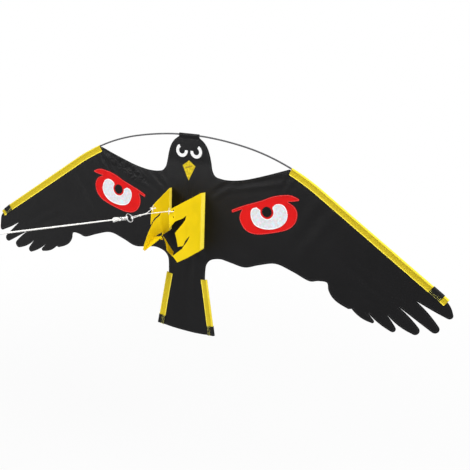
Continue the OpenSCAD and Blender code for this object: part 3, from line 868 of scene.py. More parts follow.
def sweep(bm, profile, frames, closed=False, flat=False, bright=None):
    """Carries a closed profile through frames. Open ends are capped, closed paths are joined up. A flat
    strip is marked across in metres, and a tube by its share of the turn."""
    along, across, edge = marks(bm)
    ring = [bm.verts.new(frames[0] @ Vector((*p, 0))) for p in profile]
    reach = 0.0
    for i, v in enumerate(ring):
        reach += (Vector(profile[i]) - Vector(profile[i - 1])).length if i else 0
        v[across] = reach if flat else i / len(ring)
        # Painted brightness of the tape: its sewn edge, and a painted highlight round the rod
        v[edge] = bright(profile[i]) if bright else 0.0
    edges = [bm.edges.new((ring[i - 1], ring[i])) for i in range(len(ring))]
    first, travelled = list(edges), 0.0
    for before, after in zip(frames, frames[1:]):
        made = bmesh.ops.extrude_edge_only(bm, edges=edges)["geom"]
        fresh = {e for e in made if isinstance(e, bmesh.types.BMVert)}
        edges = [e for e in made if isinstance(e, bmesh.types.BMEdge) and set(e.verts) <= fresh]
        bmesh.ops.transform(bm, matrix=after @ before.inverted(), verts=list(fresh))
        travelled += (after.translation - before.translation).length
        for v in fresh:
            v[along] = travelled
    if closed:
        bmesh.ops.bridge_loops(bm, edges=first + edges)
    else:
        for rim in (first, edges):
            bmesh.ops.edgeloop_fill(bm, edges=rim)


def arc(radius, angles):
    return [(radius * math.cos(a), radius * math.sin(a)) for a in angles]


def tube(bm, points, radius, sides, closed=False):
    """A round tube along a path of points"""
    sweep(bm, arc(radius, round_turn(sides)), tube_frames(points, closed), closed)


# Widths of the bright edge of a sleeve's tape: where it starts to fade, and where it ends
EDGE_BRIGHT, EDGE_END = 1.8 * MM, 2.4 * MM


def sleeve_profile(bore, thickness, width, half, taper=8 * MM, wrap=math.radians(125), steps=14):
    """A sleeve in section: round the rod, and two layers towards the sail, as (out, back)"""
    outer = half + thickness
    rim = (-width, EDGE_BRIGHT - width, EDGE_END - width, -taper)
    return (
        [(x, -outer) for x in rim] + arc(bore + thickness, spaced(steps, -wrap, wrap))
        + [(x, outer) for x in reversed(rim)] + [(-width, half), (-taper, half)]
        + arc(bore, spaced(steps, wrap, -wrap)) + [(-taper, -half), (-width, -half)]
    )


class KITE_OT_stage(bpy.types.Operator):
    """Set up the camera of the photograph, the pale floor and the soft studio light"""

    bl_idname = "kite.stage"
    bl_label = "Stage"

    # The photograph's camera: direction from the aim, roll, distance and focal length in pixels
    azimuth = math.radians(26.684)
    elevation = math.radians(15.762)
    roll = math.radians(2.242)
    distance = 1.541724
    aim = (132.967 * MM, 0, 0)
    focal_px = 640.275
    frame_px = 470
    offset_px = (0.1, 0.7)
    sensor = 36.0
    clip = (0.05, 500.0)
    # The floor: drop below the kite, half its side, and where and how far the shadow shows on it
    floor_drop = 0.55
    floor_half = 120.0
    shadow_reach = (0.6, 2.5)
    shadow_share = 0.08
    # Lamps: name, place from the sail's middle, size and power
    lamps = (
        ("key", (-1.3, -2.4, 2.2), (1.3, 1.3), 30.0),
        ("strip", (-1.5, -2.6, 0.9), (1.3, 0.2), 48.0),
        ("fill", (1.9, -0.9, 2.3), (1.4, 1.4), 122.0),
        ("back", (0.4, 2.4, 1.6), (2.4, 2.4), 40.0),
    )

    def execute(self, context):
        self.camera(context.scene)
        self.floor()
        self.world(context.scene)
        self.lights()
        context.scene.view_settings.view_transform = "Standard"
        return {"FINISHED"}

    def camera(self, scene):
        a, e = self.azimuth, self.elevation
        back = Vector((math.sin(a) * math.cos(e), -math.cos(a) * math.cos(e), math.sin(e)))
        right = Vector((math.cos(a), math.sin(a), 0))
        up = back.cross(right)
        across = right * math.cos(self.roll) + up * math.sin(self.roll)
        upright = up * math.cos(self.roll) - right * math.sin(self.roll)
        data = bpy.data.cameras.new("photo_camera")
        data.sensor_width = self.sensor
        data.lens = self.sensor * self.focal_px / self.frame_px
        data.shift_x, data.shift_y = (px / self.frame_px for px in self.offset_px)
        data.clip_start, data.clip_end = self.clip
        scene.camera = add_object("photo_camera", data)
        turn = Matrix((across, upright, back)).transposed().to_4x4()
        scene.camera.matrix_world = Matrix.Translation(at(*self.aim) + back * self.distance) @ turn

    def floor(self):
        bm = bmesh.new()
        bmesh.ops.create_grid(bm, x_segments=8, y_segments=8, size=self.floor_half)
        middle = Vector((0, SAIL_PLACE.y, CAD_BOX[0].z - self.floor_drop))
        bmesh.ops.translate(bm, vec=middle, verts=bm.verts)
        mesh = bpy.data.meshes.new("floor")
        bm.to_mesh(mesh)
        bm.free()
        paint = Finish("pale_floor", (0.5, 0.5, 0.5), 0.8, specular=0.1)
        speck = paint.noise(paint.place(), 3.0, 2.0)
        paint.set("Base Color", paint.mix(speck, (0.49, 0.49, 0.49), (0.51, 0.51, 0.51)))
        away = paint.node(
            "ShaderNodeVectorMath", {"operation": "DISTANCE"}, {0: paint.place(), 1: middle}, output="Value",
        )
        shadow = (1.0 - away.between(*self.shadow_reach)) * self.shadow_share
        glow = paint.node("ShaderNodeEmission", {}, {"Color": (1, 1, 1, 1), "Strength": 1.0})
        paint.blend(self.seen(paint) * (1.0 - shadow), glow)
        mesh.materials.append(paint.material)
        add_object("floor", mesh)

    @staticmethod
    def seen(paint):
        """1 for a ray from the camera, or one that metal or glass sends on"""
        camera, glossy, through = (
            paint.node("ShaderNodeLightPath", output=f"Is {kind} Ray")
            for kind in ("Camera", "Glossy", "Transmission")
        )
        return paint.math("MAXIMUM", camera, paint.math("MAXIMUM", glossy, through))

    def world(self, scene):
        """White where it is seen, and a dim light from above elsewhere"""
        scene.world = bpy.data.worlds.new("studio")
        scene.world.use_nodes = True
        sky = Nodes(scene.world.node_tree)
        _, _, height = sky.axes(sky.node("ShaderNodeTexCoord", output="Generated"))
        ambient = 0.12 + height.between(-0.2, 0.9) * 0.16
        seen = self.seen(sky)
        shown = sky.tree.nodes["Background"].inputs
        sky.feed(shown["Color"], (1, 1, 1, 1))
        sky.feed(shown["Strength"], seen + (1.0 - seen) * ambient)

    def lights(self):
        for name, place, size, power in self.lamps:
            data = bpy.data.lights.new(name, "AREA")
            data.shape = "RECTANGLE"
            data.size, data.size_y = size
            data.energy = power
            made = add_object(name, data)
            made.location = at(*place)
            made.rotation_euler = (-Vector(place)).to_track_quat("-Z", "Y").to_euler()


def overhand(count):
    """Points of an overhand knot as it is pulled up, about 6 across, with the cord along w"""
    return [
        (math.sin(t) + 2 * math.sin(2 * t), math.cos(t) - 2 * math.cos(2 * t), -1.3 * math.sin(3 * t))
        for t in spaced(count, 0, math.tau)
    ]


def tow_axes():
    """A function that gives a point on the line, in the line's own turned frame, from millimetres"""
    heading, level, rise = (
        Vector(JOINTS[joint]["axis"]).normalized() for joint in ("barrel_spin", "ring_swing", "line_swing")
    )
    start = Vector(JOINTS["ring_swing"]["pos_m"])

    def along(s, out=0.0, over=0.0):
        return start + heading * (s * MM) + level * (out * MM) + rise * (over * MM)

    return along


class KITE_OT_line(bpy.types.Operator):
    """Lay the taut line, wind its knot at the swivel and tie the loop at its far end"""

    bl_idname = "kite.line"
    bl_label = "Line"

    # Distances along the line from the ring's first wire, in millimetres
    loop_at = 47.6
    loop_r = 4.0
    knot_at = 51.6
    knot_l = 15.0
    knot_turns = 4
    # Radius of the wound turns, and how much they swell in the middle
    wound_r, wound_swell = 2.75, 0.35
    # The knot's tail: its start before the knot's end and off the line, and its steps along, out and over
    tail_back, tail_off, tail_step = 2.5, 2.6, (1.2, 0.55, -0.25)
    line_at = 66.6
    line_l = 313.0
    end_knot_l = 10.0
    end_loop_half = 21.0
    end_loop_w = 9.0

    def execute(self, context):
        sizes = context.scene.kite_sizes
        along = tow_axes()
        cord = (sizes.line_d / 2, sizes.cord_sides)
        knot = self.swivel_knot(cord, along)
        end = self.end_loop(cord, along)
        last = self.line_at + self.line_l
        bm = new_mesh()
        tube(bm, [along(s) for s in spaced(120, self.line_at - 1, last + 1)], *cord)
        line = piece("line_cord", bm, "line", "line", "line_cord", ["line"])
        path = [along(s) for s in spaced(30, self.line_at, last)]
        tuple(path[0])
        return {"FINISHED"}

    def swivel_knot(self, cord, along):
        """A loop through the swivel's eye, a strand, turns wound round it and a short tail"""
        bm = new_mesh()
        radius, sides = cord
        loop = [along(self.loop_at + self.loop_r * math.sin(a), self.loop_r * math.cos(a))
                for a in round_turn(40)]
        tube(bm, loop, *cord, closed=True)
        last = self.knot_at + self.knot_l
        tube(bm, [along(s) for s in spaced(6, self.knot_at - 0.5, last)], radius * 1.05, sides)
        coil = []
        for t in spaced(96):
            wound = self.wound_r + self.wound_swell * math.sin(math.pi * t)
            a = math.tau * self.knot_turns * t
            place = self.knot_at + 1.5 + (self.knot_l - 3.5) * t
            coil.append(along(place, wound * math.cos(a), wound * math.sin(a)))
        tube(bm, coil, *cord)
        ahead, out, over = self.tail_step
        tail = [along(last - self.tail_back + ahead * i, self.tail_off + out * i, over * i) for i in range(5)]
        tube(bm, tail, *cord)
        return piece("line_knot_cord", bm, "line", "line", "line_cord", ["line_knot"])

    def end_loop(self, cord, along):
        """A long loop and the overhand knot that closes it"""
        bm = new_mesh()
        knot = self.line_at + self.line_l
        middle = knot + self.end_knot_l + self.end_loop_half
        loop = [along(middle - self.end_loop_half * math.cos(a), self.end_loop_w * math.sin(a))
                for a in round_turn(64)]
        tube(bm, loop, *cord, closed=True)
        tube(bm, [along(s) for s in spaced(6, knot, knot + self.end_knot_l * 1.1)], *cord)
        bend = [along(knot + self.end_knot_l / 2 + 1.05 * w, 0.85 * u, 0.85 * v)
                for u, v, w in overhand(72)]
        tube(bm, bend, *cord)
        return piece("end_loop_cord", bm, "line", "line", "line_cord", ["end_loop"])


class KITE_OT_bridle(bpy.types.Operator):
    """Tie the two loops in the talons and the bridle that runs from them to the ring"""

    bl_idname = "kite.bridle"
    bl_label = "Bridle"

    # Distances ahead of the tow holes, in millimetres
    reach = 69.0
    knot_at = 90.0
    ring_at = 120.0
    # Distance from the middle of a talon's knot to the start of its leg
    leg_off = 2.1
    # Knots where the legs meet and before the ring: place and scale
    knots = ((reach, 0.52), (knot_at, 0.72))
    # The two twisted strands: their distance from the middle, number of turns and overlap with the legs
    twist_r, twist_turns, twist_over = 0.75, 2.5, 2
    # The turn round the ring's wire: half its width, its slope at the knot and its turn about the line
    ring_half = 2.8
    ring_slope = math.radians(25)
    ring_turn = math.radians(115)
    # The loops in the talons, their seat on the hole's edge, and their tails: length, rise and lean
    loop_r = 6.0
    seat = 0.4
    knot_scale = 0.55
    tails = ((9.0, 1, 0.22), (6.5, -1, 0.2))

    def execute(self, context):
        sizes = context.scene.kite_sizes
        cord = (sizes.bridle_d / 2, sizes.cord_sides)
        pivot = Vector(JOINTS["right_loop_turn"]["pos_m"])
        middle = Vector((0, pivot.y, pivot.z))
        forward = (Vector(JOINTS["ring_swing"]["pos_m"]) - middle).normalized()
        over = forward.cross(RIGHT)
        hole = pivot.x / MM
        splay = math.atan2(hole, self.reach)

        def spot(ahead, out=0.0, high=0.0):
            return middle + forward * (ahead * MM) + RIGHT * (out * MM) + over * (high * MM)

        def splayed(side, ahead, out, high=0.0):
            """A point in the frame of one leg, which starts at its hole"""
            return spot(
                ahead * math.cos(splay) + out * math.sin(splay),
                side * (hole - ahead * math.sin(splay) + out * math.cos(splay)), high,
            )

        loop_at = self.loop_r - cord[0] / MM - self.seat
        for name, side in SIDES:
            self.talon_loop(name, side, splayed, loop_at, cord)
        bm = new_mesh()
        leg_at = loop_at + self.loop_r + self.leg_off
        first = (leg_at * math.cos(splay), hole - leg_at * math.sin(splay))
        for _, side in SIDES:
            leg = [spot(first[0] + (self.reach - first[0]) * t, side * first[1] * (1 - t))
                   for t in spaced(24)]
            tube(bm, leg, *cord)
            start = self.reach - self.twist_over
            strand = []
            for t in spaced(40):
                out, high = arc(side * self.twist_r, [math.tau * self.twist_turns * t])[0]
                strand.append(spot(start + (self.knot_at - start) * t, out, high))
            tube(bm, strand, *cord)
        for place, scale in self.knots:
            tube(bm, [spot(place + scale * w, scale * u, scale * v) for u, v, w in overhand(60)], *cord)
        tube(bm, self.ring_loop(spot), *cord)
        piece("bridle_cord", bm, "bridle", "bridle", "bridle_cord", ["bridle"])
        return {"FINISHED"}

    def ring_loop(self, spot):
        """The turn of the bridle round the wire of the ring, square to the ring"""
        wide, high = math.cos(self.ring_turn), -math.sin(self.ring_turn)
        half = [(self.knot_at, 0.4)]
        half += [(self.ring_at - self.ring_half * math.sin(a), self.ring_half * math.cos(a))
                 for a in spaced(10, self.ring_slope, -math.pi / 2)]
        path = half + [(ahead, -out) for ahead, out in reversed(half[:-1])]
        return [spot(ahead, out * wide, out * high) for ahead, out in path]

    def talon_loop(self, name, side, splayed, loop_at, cord):
        """A small loop of cord through a talon's hole, its knot and two short tails"""
        bm = new_mesh()
        radius, sides = cord
        loop = [splayed(side, loop_at + out, across) for out, across in arc(self.loop_r, round_turn(48))]
        tube(bm, loop, *cord, closed=True)
        knot, scale = loop_at + self.loop_r, self.knot_scale
        tube(bm, [splayed(side, knot + scale * w, scale * u, scale * v) for u, v, w in overhand(60)], *cord)
        for length, rise, lean in self.tails:
            tail = [splayed(side, knot + lean * s, side * 0.3 * s, rise * s) for s in spaced(8, 0, length)]
            tube(bm, tail, radius * 0.8, sides)
        node = f"{name}_talon_loop"
        piece(f"{node}_cord", bm, "bridle", f"{name}_loop", "bridle_cord", [node])


class KITE_OT_tow_gear(bpy.types.Operator):
    """Wind the split ring and turn the swivel's eyes and barrel"""

    bl_idname = "kite.tow_gear"
    bl_label = "Ring and swivel"

    # The ring's wire: radius of its turns, thickness, pitch, start, length and crossing in degrees
    ring_r = 9.75
    ring_wire = 1.3
    ring_pitch = 1.45
    ring_from = -138
    ring_sweep = 635
    ring_cross = (290, 345)
    # The ring hangs turned about the line, as the photograph shows it
    ring_turn = math.radians(34)
    wire_sides = 14
    # The swivel, along the line from the ring's first wire, in millimetres
    eye_r = 4.2
    eye_wire = 2.0
    first_eye_at = 20.7
    barrel_at = 26.7
    barrel_l = 9.5
    barrel_d = 7.0
    barrel_wall = 1.1
    barrel_edge = 1.6
    second_eye_at = 42.2
    groove_at, groove_half, groove_depth = 2.6, 0.4, 0.28
    neck_l = 0.8
    neck_play = 0.06
    head_play = 0.3
    head_l = 2.0

    def execute(self, context):
        along = tow_axes()
        self.ring(along)
        self.eye("swivel_ring_eye", "ring_eye", along, self.first_eye_at, 1)
        self.eye("swivel_line_eye", "line_eye", along, self.second_eye_at, -1)
        self.barrel(along)
        return {"FINISHED"}

    def ring(self, along):
        """One wire in two turns, which crosses from the first to the second"""
        sine, cosine = math.sin(self.ring_turn), math.cos(self.ring_turn)
        path = []
        for turned in spaced(180, 0, self.ring_sweep):
            out, ahead = arc(self.ring_r, [math.radians(self.ring_from + turned)])[0]
            over = self.ring_pitch * (smooth(turned, *self.ring_cross) - 0.5)
            path.append(along(self.ring_r - ahead, out * cosine + over * sine, over * cosine - out * sine))
        bm = new_mesh()
        tube(bm, path, self.ring_wire / 2 * MM, self.wire_sides)
        piece("split_ring_wire", bm, "ring", "ring", "ring_steel", ["split_ring"])

    @staticmethod
    def spun(bm, profile, along, start, way):
        """Turns a profile of (distance along the line, radius) about the line"""
        out = tube_frames([along(start), along(start + way)])[0].to_3x3().col[0]
        verts = [bm.verts.new(along(start + way * s) + out * (r * MM)) for s, r in profile]
        edges = [bm.edges.new(pair) for pair in zip(verts, verts[1:])]
        bmesh.ops.spin(
            bm, geom=verts + edges, cent=along(start), axis=(along(1) - along(0)).normalized(),
            angle=math.tau, steps=40, use_merge=True,
        )

    def eye(self, node, body, along, middle, way):
        """A wire eye, its neck and the head that the barrel holds"""
        bm = new_mesh()
        ring = [along(middle + ahead, 0, over) for ahead, over in arc(self.eye_r, round_turn(56))]
        tube(bm, ring, self.eye_wire / 2 * MM, self.wire_sides, closed=True)
        neck = self.eye_wire / 2
        head = self.barrel_d / 2 - self.barrel_wall - self.head_play
        root = self.eye_r - 0.4
        first = self.eye_r + neck + self.neck_l + self.barrel_wall + self.head_play
        last = first + self.head_l
        self.spun(bm, [
            (root, 0), (root, neck), (first, neck), (first, head - 0.2), (first + 0.2, head),
            (last - 0.3, head), (last, head - 0.3), (last, 0),
        ], along, middle, way)
        piece(f"{node}_wire", bm, "swivel", body, "swivel_metal", [node])

    def barrel(self, along):
        """The hollow barrel, with rounded shoulders and a rolled groove near each end"""
        bm = new_mesh()
        bore, outer, wall = self.eye_wire / 2 + self.neck_play, self.barrel_d / 2, self.barrel_wall
        inner, length, edge = outer - wall, self.barrel_l, self.barrel_edge
        quarter = arc(edge, spaced(6, 0, math.pi / 2))
        profile = [(wall, bore), (0, bore)]
        profile += [(edge - c, outer - edge + s) for c, s in quarter]
        for centre in (self.groove_at, length - self.groove_at):
            profile += [
                (centre - self.groove_half, outer), (centre, outer - self.groove_depth),
                (centre + self.groove_half, outer),
            ]
        profile += [(length - edge + s, outer - edge + c) for c, s in quarter]
        profile += [(length, bore), (length - wall, bore), (length - wall, inner), (wall, inner), (wall, bore)]
        self.spun(bm, profile, along, self.barrel_at, 1)
        piece("swivel_barrel_shell", bm, "swivel", "barrel", "swivel_metal", ["swivel_barrel"])


class KITE_OT_sail(bpy.types.Operator):
    """Cut the sail, drape it, sew its edge and back the talons' seams with tape"""

    bl_idname = "kite.sail"
    bl_label = "Sail"

    hem = 4 * MM

    def execute(self, context):
        sizes = context.scene.kite_sizes
        bm, outline = sewn_sheet("sail", FRONT, sizes.cloth_t)
        sail = piece("sail_cloth_panel", bm, "sail", "kite", "sail_cloth", ["sail"])
        thread = bmesh.new()
        faces = (SAIL_FACE - PROUD, SAIL_FACE + sizes.cloth_t + PROUD)
        sew_outline(thread, outline, self.hem, faces, sizes.stitch_l * 1.6)
        rows = stitches("sail_edge_stitches", thread, "black_thread", "kite", "sail_cloth")
        tapes = [self.keel_tape(f"{name}_keel_tape", sizes) for name, _ in SIDES]
        return {"FINISHED"}

    @staticmethod
    def keel_tape(node, sizes):
        """Webbing behind the sail along a talon's seam"""
        low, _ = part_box(node)
        bm, _ = sewn_sheet(node, -FRONT, sizes.tape_t)
        mark_sheet(bm, low)
        shift = SAIL_FACE + sizes.cloth_t - (low.y - SAIL_PLACE.y)
        bmesh.ops.translate(bm, vec=Vector((0, shift, 0)), verts=bm.verts)
        return piece(f"{node}_webbing", bm, "webbing", "kite", "black_webbing", [node])


class KITE_OT_bow(bpy.types.Operator):
    """Bend the two rods of the bow and fold the pocket on the head"""

    bl_idname = "kite.bow"
    bl_label = "Bow"

    ferrule_d = 6.4
    play = 0.3
    pocket_w = 12
    # Distances of the pocket's two rows of stitches from its edge
    rows = (1.5, 3.5)

    def execute(self, context):
        sizes = context.scene.kite_sizes
        path = [(self.play, BOW_HEIGHT, 0)] + bow_path(0, WING_RUN - ROD_INSET, 8)
        for name, side in SIDES:
            bm = new_mesh()
            sweep(bm, arc(sizes.rod_d / 2, round_turn(20)), strip_frames(path, side))
            piece(f"{name}_wing_rod_bar", bm, "rod", "kite", "fibreglass", [f"{name}_wing_rod"])
        self.pocket(sizes)
        for node, material in (
            ("spar_ferrule", "ferrule"), ("left_tail_rod", "rod"), ("right_tail_rod", "rod"),
        ):
            slots = frame["nodes"][node].data.materials
            slots.clear()
            slots.append(finish(material))
        return {"FINISHED"}

    def pocket(self, sizes):
        """Black cloth folded round the ferrule and sewn to the head"""
        half = -SAIL_FACE
        bore = (self.ferrule_d / 2 + self.play) * MM
        profile = sleeve_profile(bore, sizes.tape_t, self.pocket_w * MM, half)
        path = [(x, BOW_HEIGHT, 0) for x in spaced(18, -POCKET_HALF, POCKET_HALF)]
        bm = new_mesh()
        sweep(bm, profile, strip_frames(path, 1), flat=True)
        piece("head_pocket_cloth", bm, "sail", "kite", "sail_cloth", ["head_pocket"])
        thread = bmesh.new()
        for row in self.rows:
            inward = (self.pocket_w - row) * MM
            sew_strip(thread, path, 1, inward, both_faces(half + sizes.tape_t), sizes.stitch_l)
        stitches("head_pocket_stitches", thread, "black_thread", "kite", "sail_cloth")


class KITE_OT_sleeves(bpy.types.Operator):
    """Fold the yellow sleeves round the rods of the wings and tail, and sew their black bands"""

    bl_idname = "kite.sleeves"
    bl_label = "Sleeves"

    play = 0.3 * MM
    layer_gap = 0.15 * MM
    band_t = 0.8 * MM
    band_over = 1 * MM
    wing_band = (WING_RUN - 13 - 29, WING_RUN - 13)
    tail_band = (TAIL_LENGTH - 25, TAIL_LENGTH)
    # Distance of the sleeve's row of stitches from its edge
    row = 2 * MM
    # The band's stitches: thickness, rows from the rod, ends of its cross rows, and length of those stitches
    band_thread = 0.45 * MM
    band_rows = (5.5, 9.5, 13.5)
    cross_rows = (0.06, 0.94)
    cross_l = 2.2 * MM
    # Painted highlight where the tape bends round the rod, and where that sets in
    rod_bright, rod_bend = 0.45, (-1.5 * MM, MM)
    # Waves of the tape: their number to the metre, their depth, and where it is free of the rod
    waves, wave_depth, wave_free = 60, 0.12 * MM, (0.3 * MM, 1.2 * MM)

    def execute(self, context):
        sizes = context.scene.kite_sizes
        start, *_, end = bow_path(BOW_ARCS[-1][2], WING_RUN, 4)
        first, slope = Vector(start[:2]), start[2]
        whole = Vector(end[:2]) - first
        band = [(*(first + whole * s / WING_RUN), slope) for s in spaced(8, *self.wing_band)]
        for name, side in SIDES:
            self.sleeve(f"{name}_wing", side, WING_PATH, band, sizes)
            self.sleeve(
                f"{name}_tail", side, tail_path(0, TAIL_LENGTH, 5), tail_path(*self.tail_band, 3), sizes,
            )
        return {"FINISHED"}

    def sleeve(self, name, side, path, band, sizes):
        """One sleeve with its row of stitches and the band at its end"""
        half, bore, width = -SAIL_FACE, sizes.rod_d / 2 + self.play, sizes.tape_w

        def bright(point):
            """The tape is brighter along its sewn edge, and has a faint painted highlight where it bends round
            the rod
            """
            sewn = smooth(-point[0], width - EDGE_END, width - EDGE_BRIGHT)
            return sewn + self.rod_bright * smooth(point[0], *self.rod_bend)

        bm = new_mesh()
        profile = sleeve_profile(bore, sizes.tape_t, width, half)
        sweep(bm, profile, strip_frames(path, side), flat=True, bright=bright)
        self.soften(bm, side)
        piece(f"{name}_sleeve_tape", bm, "tape", "kite", "sleeve_tape", [f"{name}_sleeve"])
        thread = bmesh.new()
        sew_strip(thread, path, side, width - self.row, both_faces(half + sizes.tape_t), sizes.stitch_l)
        stitches(f"{name}_sleeve_stitches", thread, "yellow_thread", "kite", "sleeve_tape")
        gap = sizes.tape_t + self.layer_gap
        bm = new_mesh()
        profile = sleeve_profile(bore + gap, self.band_t, width + self.band_over, half + gap)
        sweep(bm, profile, strip_frames(band, side), flat=True)
        piece(f"{name}_band_webbing", bm, "webbing", "kite", "black_webbing", [f"{name}_band"])
        self.band_stitches(name, side, band, both_faces(half + gap + self.band_t, 0.12 * MM), sizes)

    def soften(self, bm, side):
        """Lets the flat part of the tape wave a little, as sewn tape does"""
        for v in bm.verts:
            local = v.co - SAIL_PLACE
            away = smooth(abs(local.y), *self.wave_free)
            wave = noise.noise(Vector((local.x * self.waves, side, local.z * self.waves)))
            v.co.y += math.copysign(self.wave_depth * away * (wave + 0.4), local.y)

    def band_stitches(self, name, side, band, faces, sizes):
        """Bright stitches that hold a band: rows along it and one across it near each end"""
        thread = bmesh.new()
        for inward in self.band_rows:
            sew_strip(thread, band, side, inward * MM, faces, sizes.stitch_l, self.band_thread)
        frames = strip_frames(band, side)
        for end in self.cross_rows:
            base = frames[0].lerp(frames[-1], end)
            for i in range(4):
                for height in faces:
                    spot = base @ Vector((-(5 + 2.7 * i) * MM, height, 0))
                    stitch(thread, spot, base.to_3x3().col[0], self.cross_l, self.band_thread)
        stitches(f"{name}_band_stitches", thread, "lime_thread", "kite", "black_webbing")


class KITE_OT_pictures(bpy.types.Operator):
    """Sew the eyes and the beak on the sail"""

    bl_idname = "kite.pictures"
    bl_label = "Pictures"

    # Node, material, slot, thread, inset of its stitches, their length across it, and growth of its edge
    kinds = (
        ("eye_patch", "red", "red_patch", "red_thread", 1.2, 2.2, 0),
        ("eye_white", "pearl", "pearl_foil", "white_thread", 1.3, 2.6, 0),
        ("pupil", "black_patch", "black_patch", "black_thread", 1.5, 0, 0),
        ("head_eye", "white", "white_patch", "white_thread", 3.2, 0, 0.8),
    )
    # The left brow is shorter than the right one: by how much, along which way and over what reach
    left_brow = (9 * MM, Vector((-0.9, 0, 0.435)), 30 * MM)
    # The beak's zigzag: number of stitches, half its width, height over the beak's middle, slope, and the
    # length and thickness of a stitch
    zigzags = 9
    zigzag_half = 9
    zigzag_up, zigzag_slope = 9.0, 0.25
    zigzag_l, zigzag_r = 5.0 * MM, 0.55 * MM
    # Pitch and thickness of stitches across an edge and along it, and their height over the cloth
    across_row = (0.9 * MM, 0.5 * MM)
    along_pitch, along_r = 0.9, 0.24 * MM
    proud = 0.08 * MM

    def execute(self, context):
        sizes = context.scene.kite_sizes
        for name, _ in SIDES:
            for kind, *sewing in self.kinds:
                self.patch(f"{name}_{kind}", *sewing, sizes)
        self.patch("beak", "beak", "sleeve_tape", "yellow_thread", 1.6, 0, 0, sizes)
        self.zigzag()
        return {"FINISHED"}

    def patch(self, node, material, slot, thread, inset, satin, wider, sizes):
        """One picture with the row of stitches inside its edge"""
        brow = self.left_brow if node == "left_eye_patch" else None
        bm, outline = sewn_sheet(node, FRONT, sizes.patch_t, wider * MM, brow)
        low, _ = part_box(node)
        mark_sheet(bm, low)
        piece(f"{node}_cloth", bm, material, "kite", slot, [node])
        rows = bmesh.new()
        height = low.y - SAIL_PLACE.y - self.proud
        pitch, radius = self.across_row if satin else (sizes.stitch_l * self.along_pitch, self.along_r)
        sew_outline(rows, outline, inset * MM, (height,), pitch, radius, satin * MM)
        stitches(f"{node}_stitches", rows, thread, "kite", slot)

    def zigzag(self):
        """Brown zigzag stitches across the upper part of the beak"""
        low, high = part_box("beak")
        thread = bmesh.new()
        for i in range(self.zigzags):
            x = self.zigzag_half * (2 * (i + 0.5) / self.zigzags - 1)
            z = (low.z + high.z) / 2 - SAIL_PLACE.z + (self.zigzag_up + self.zigzag_slope * x) * MM
            spot = at(x * MM, low.y - SAIL_PLACE.y - PROUD + drape(x * MM, z), z)
            way = Vector((0.55, 0, 1 if i % 2 else -1)).normalized()
            stitch(thread, spot, way, self.zigzag_l, self.zigzag_r)
        stitches("beak_zigzag", thread, "brown_thread", "kite", "sleeve_tape")


class Flap:
    """A talon's own frame: out from its fold, up, and to the face that looks at the other talon"""

    def __init__(self, name, side):
        lean = math.radians(TALON_LEAN)
        self.name, self.side, self.node = name, side, f"{name}_talon"
        self.fold = Vector(JOINTS[f"{name}_talon_swing"]["pos_m"])
        self.out = Vector((-side * math.sin(lean), -math.cos(lean), 0))
        self.face = self.out.cross(UP) * side

    def spot(self, u, z, lift=0.0):
        """A point from its distance out and up in millimetres, and to the face in metres"""
        return self.fold + self.out * (u * MM) + UP * (z * MM) + self.face * lift

    def measure(self, point):
        """How far out and up a point lies, in millimetres"""
        local = point - self.fold
        return local.dot(self.out) / MM, local.dot(UP) / MM


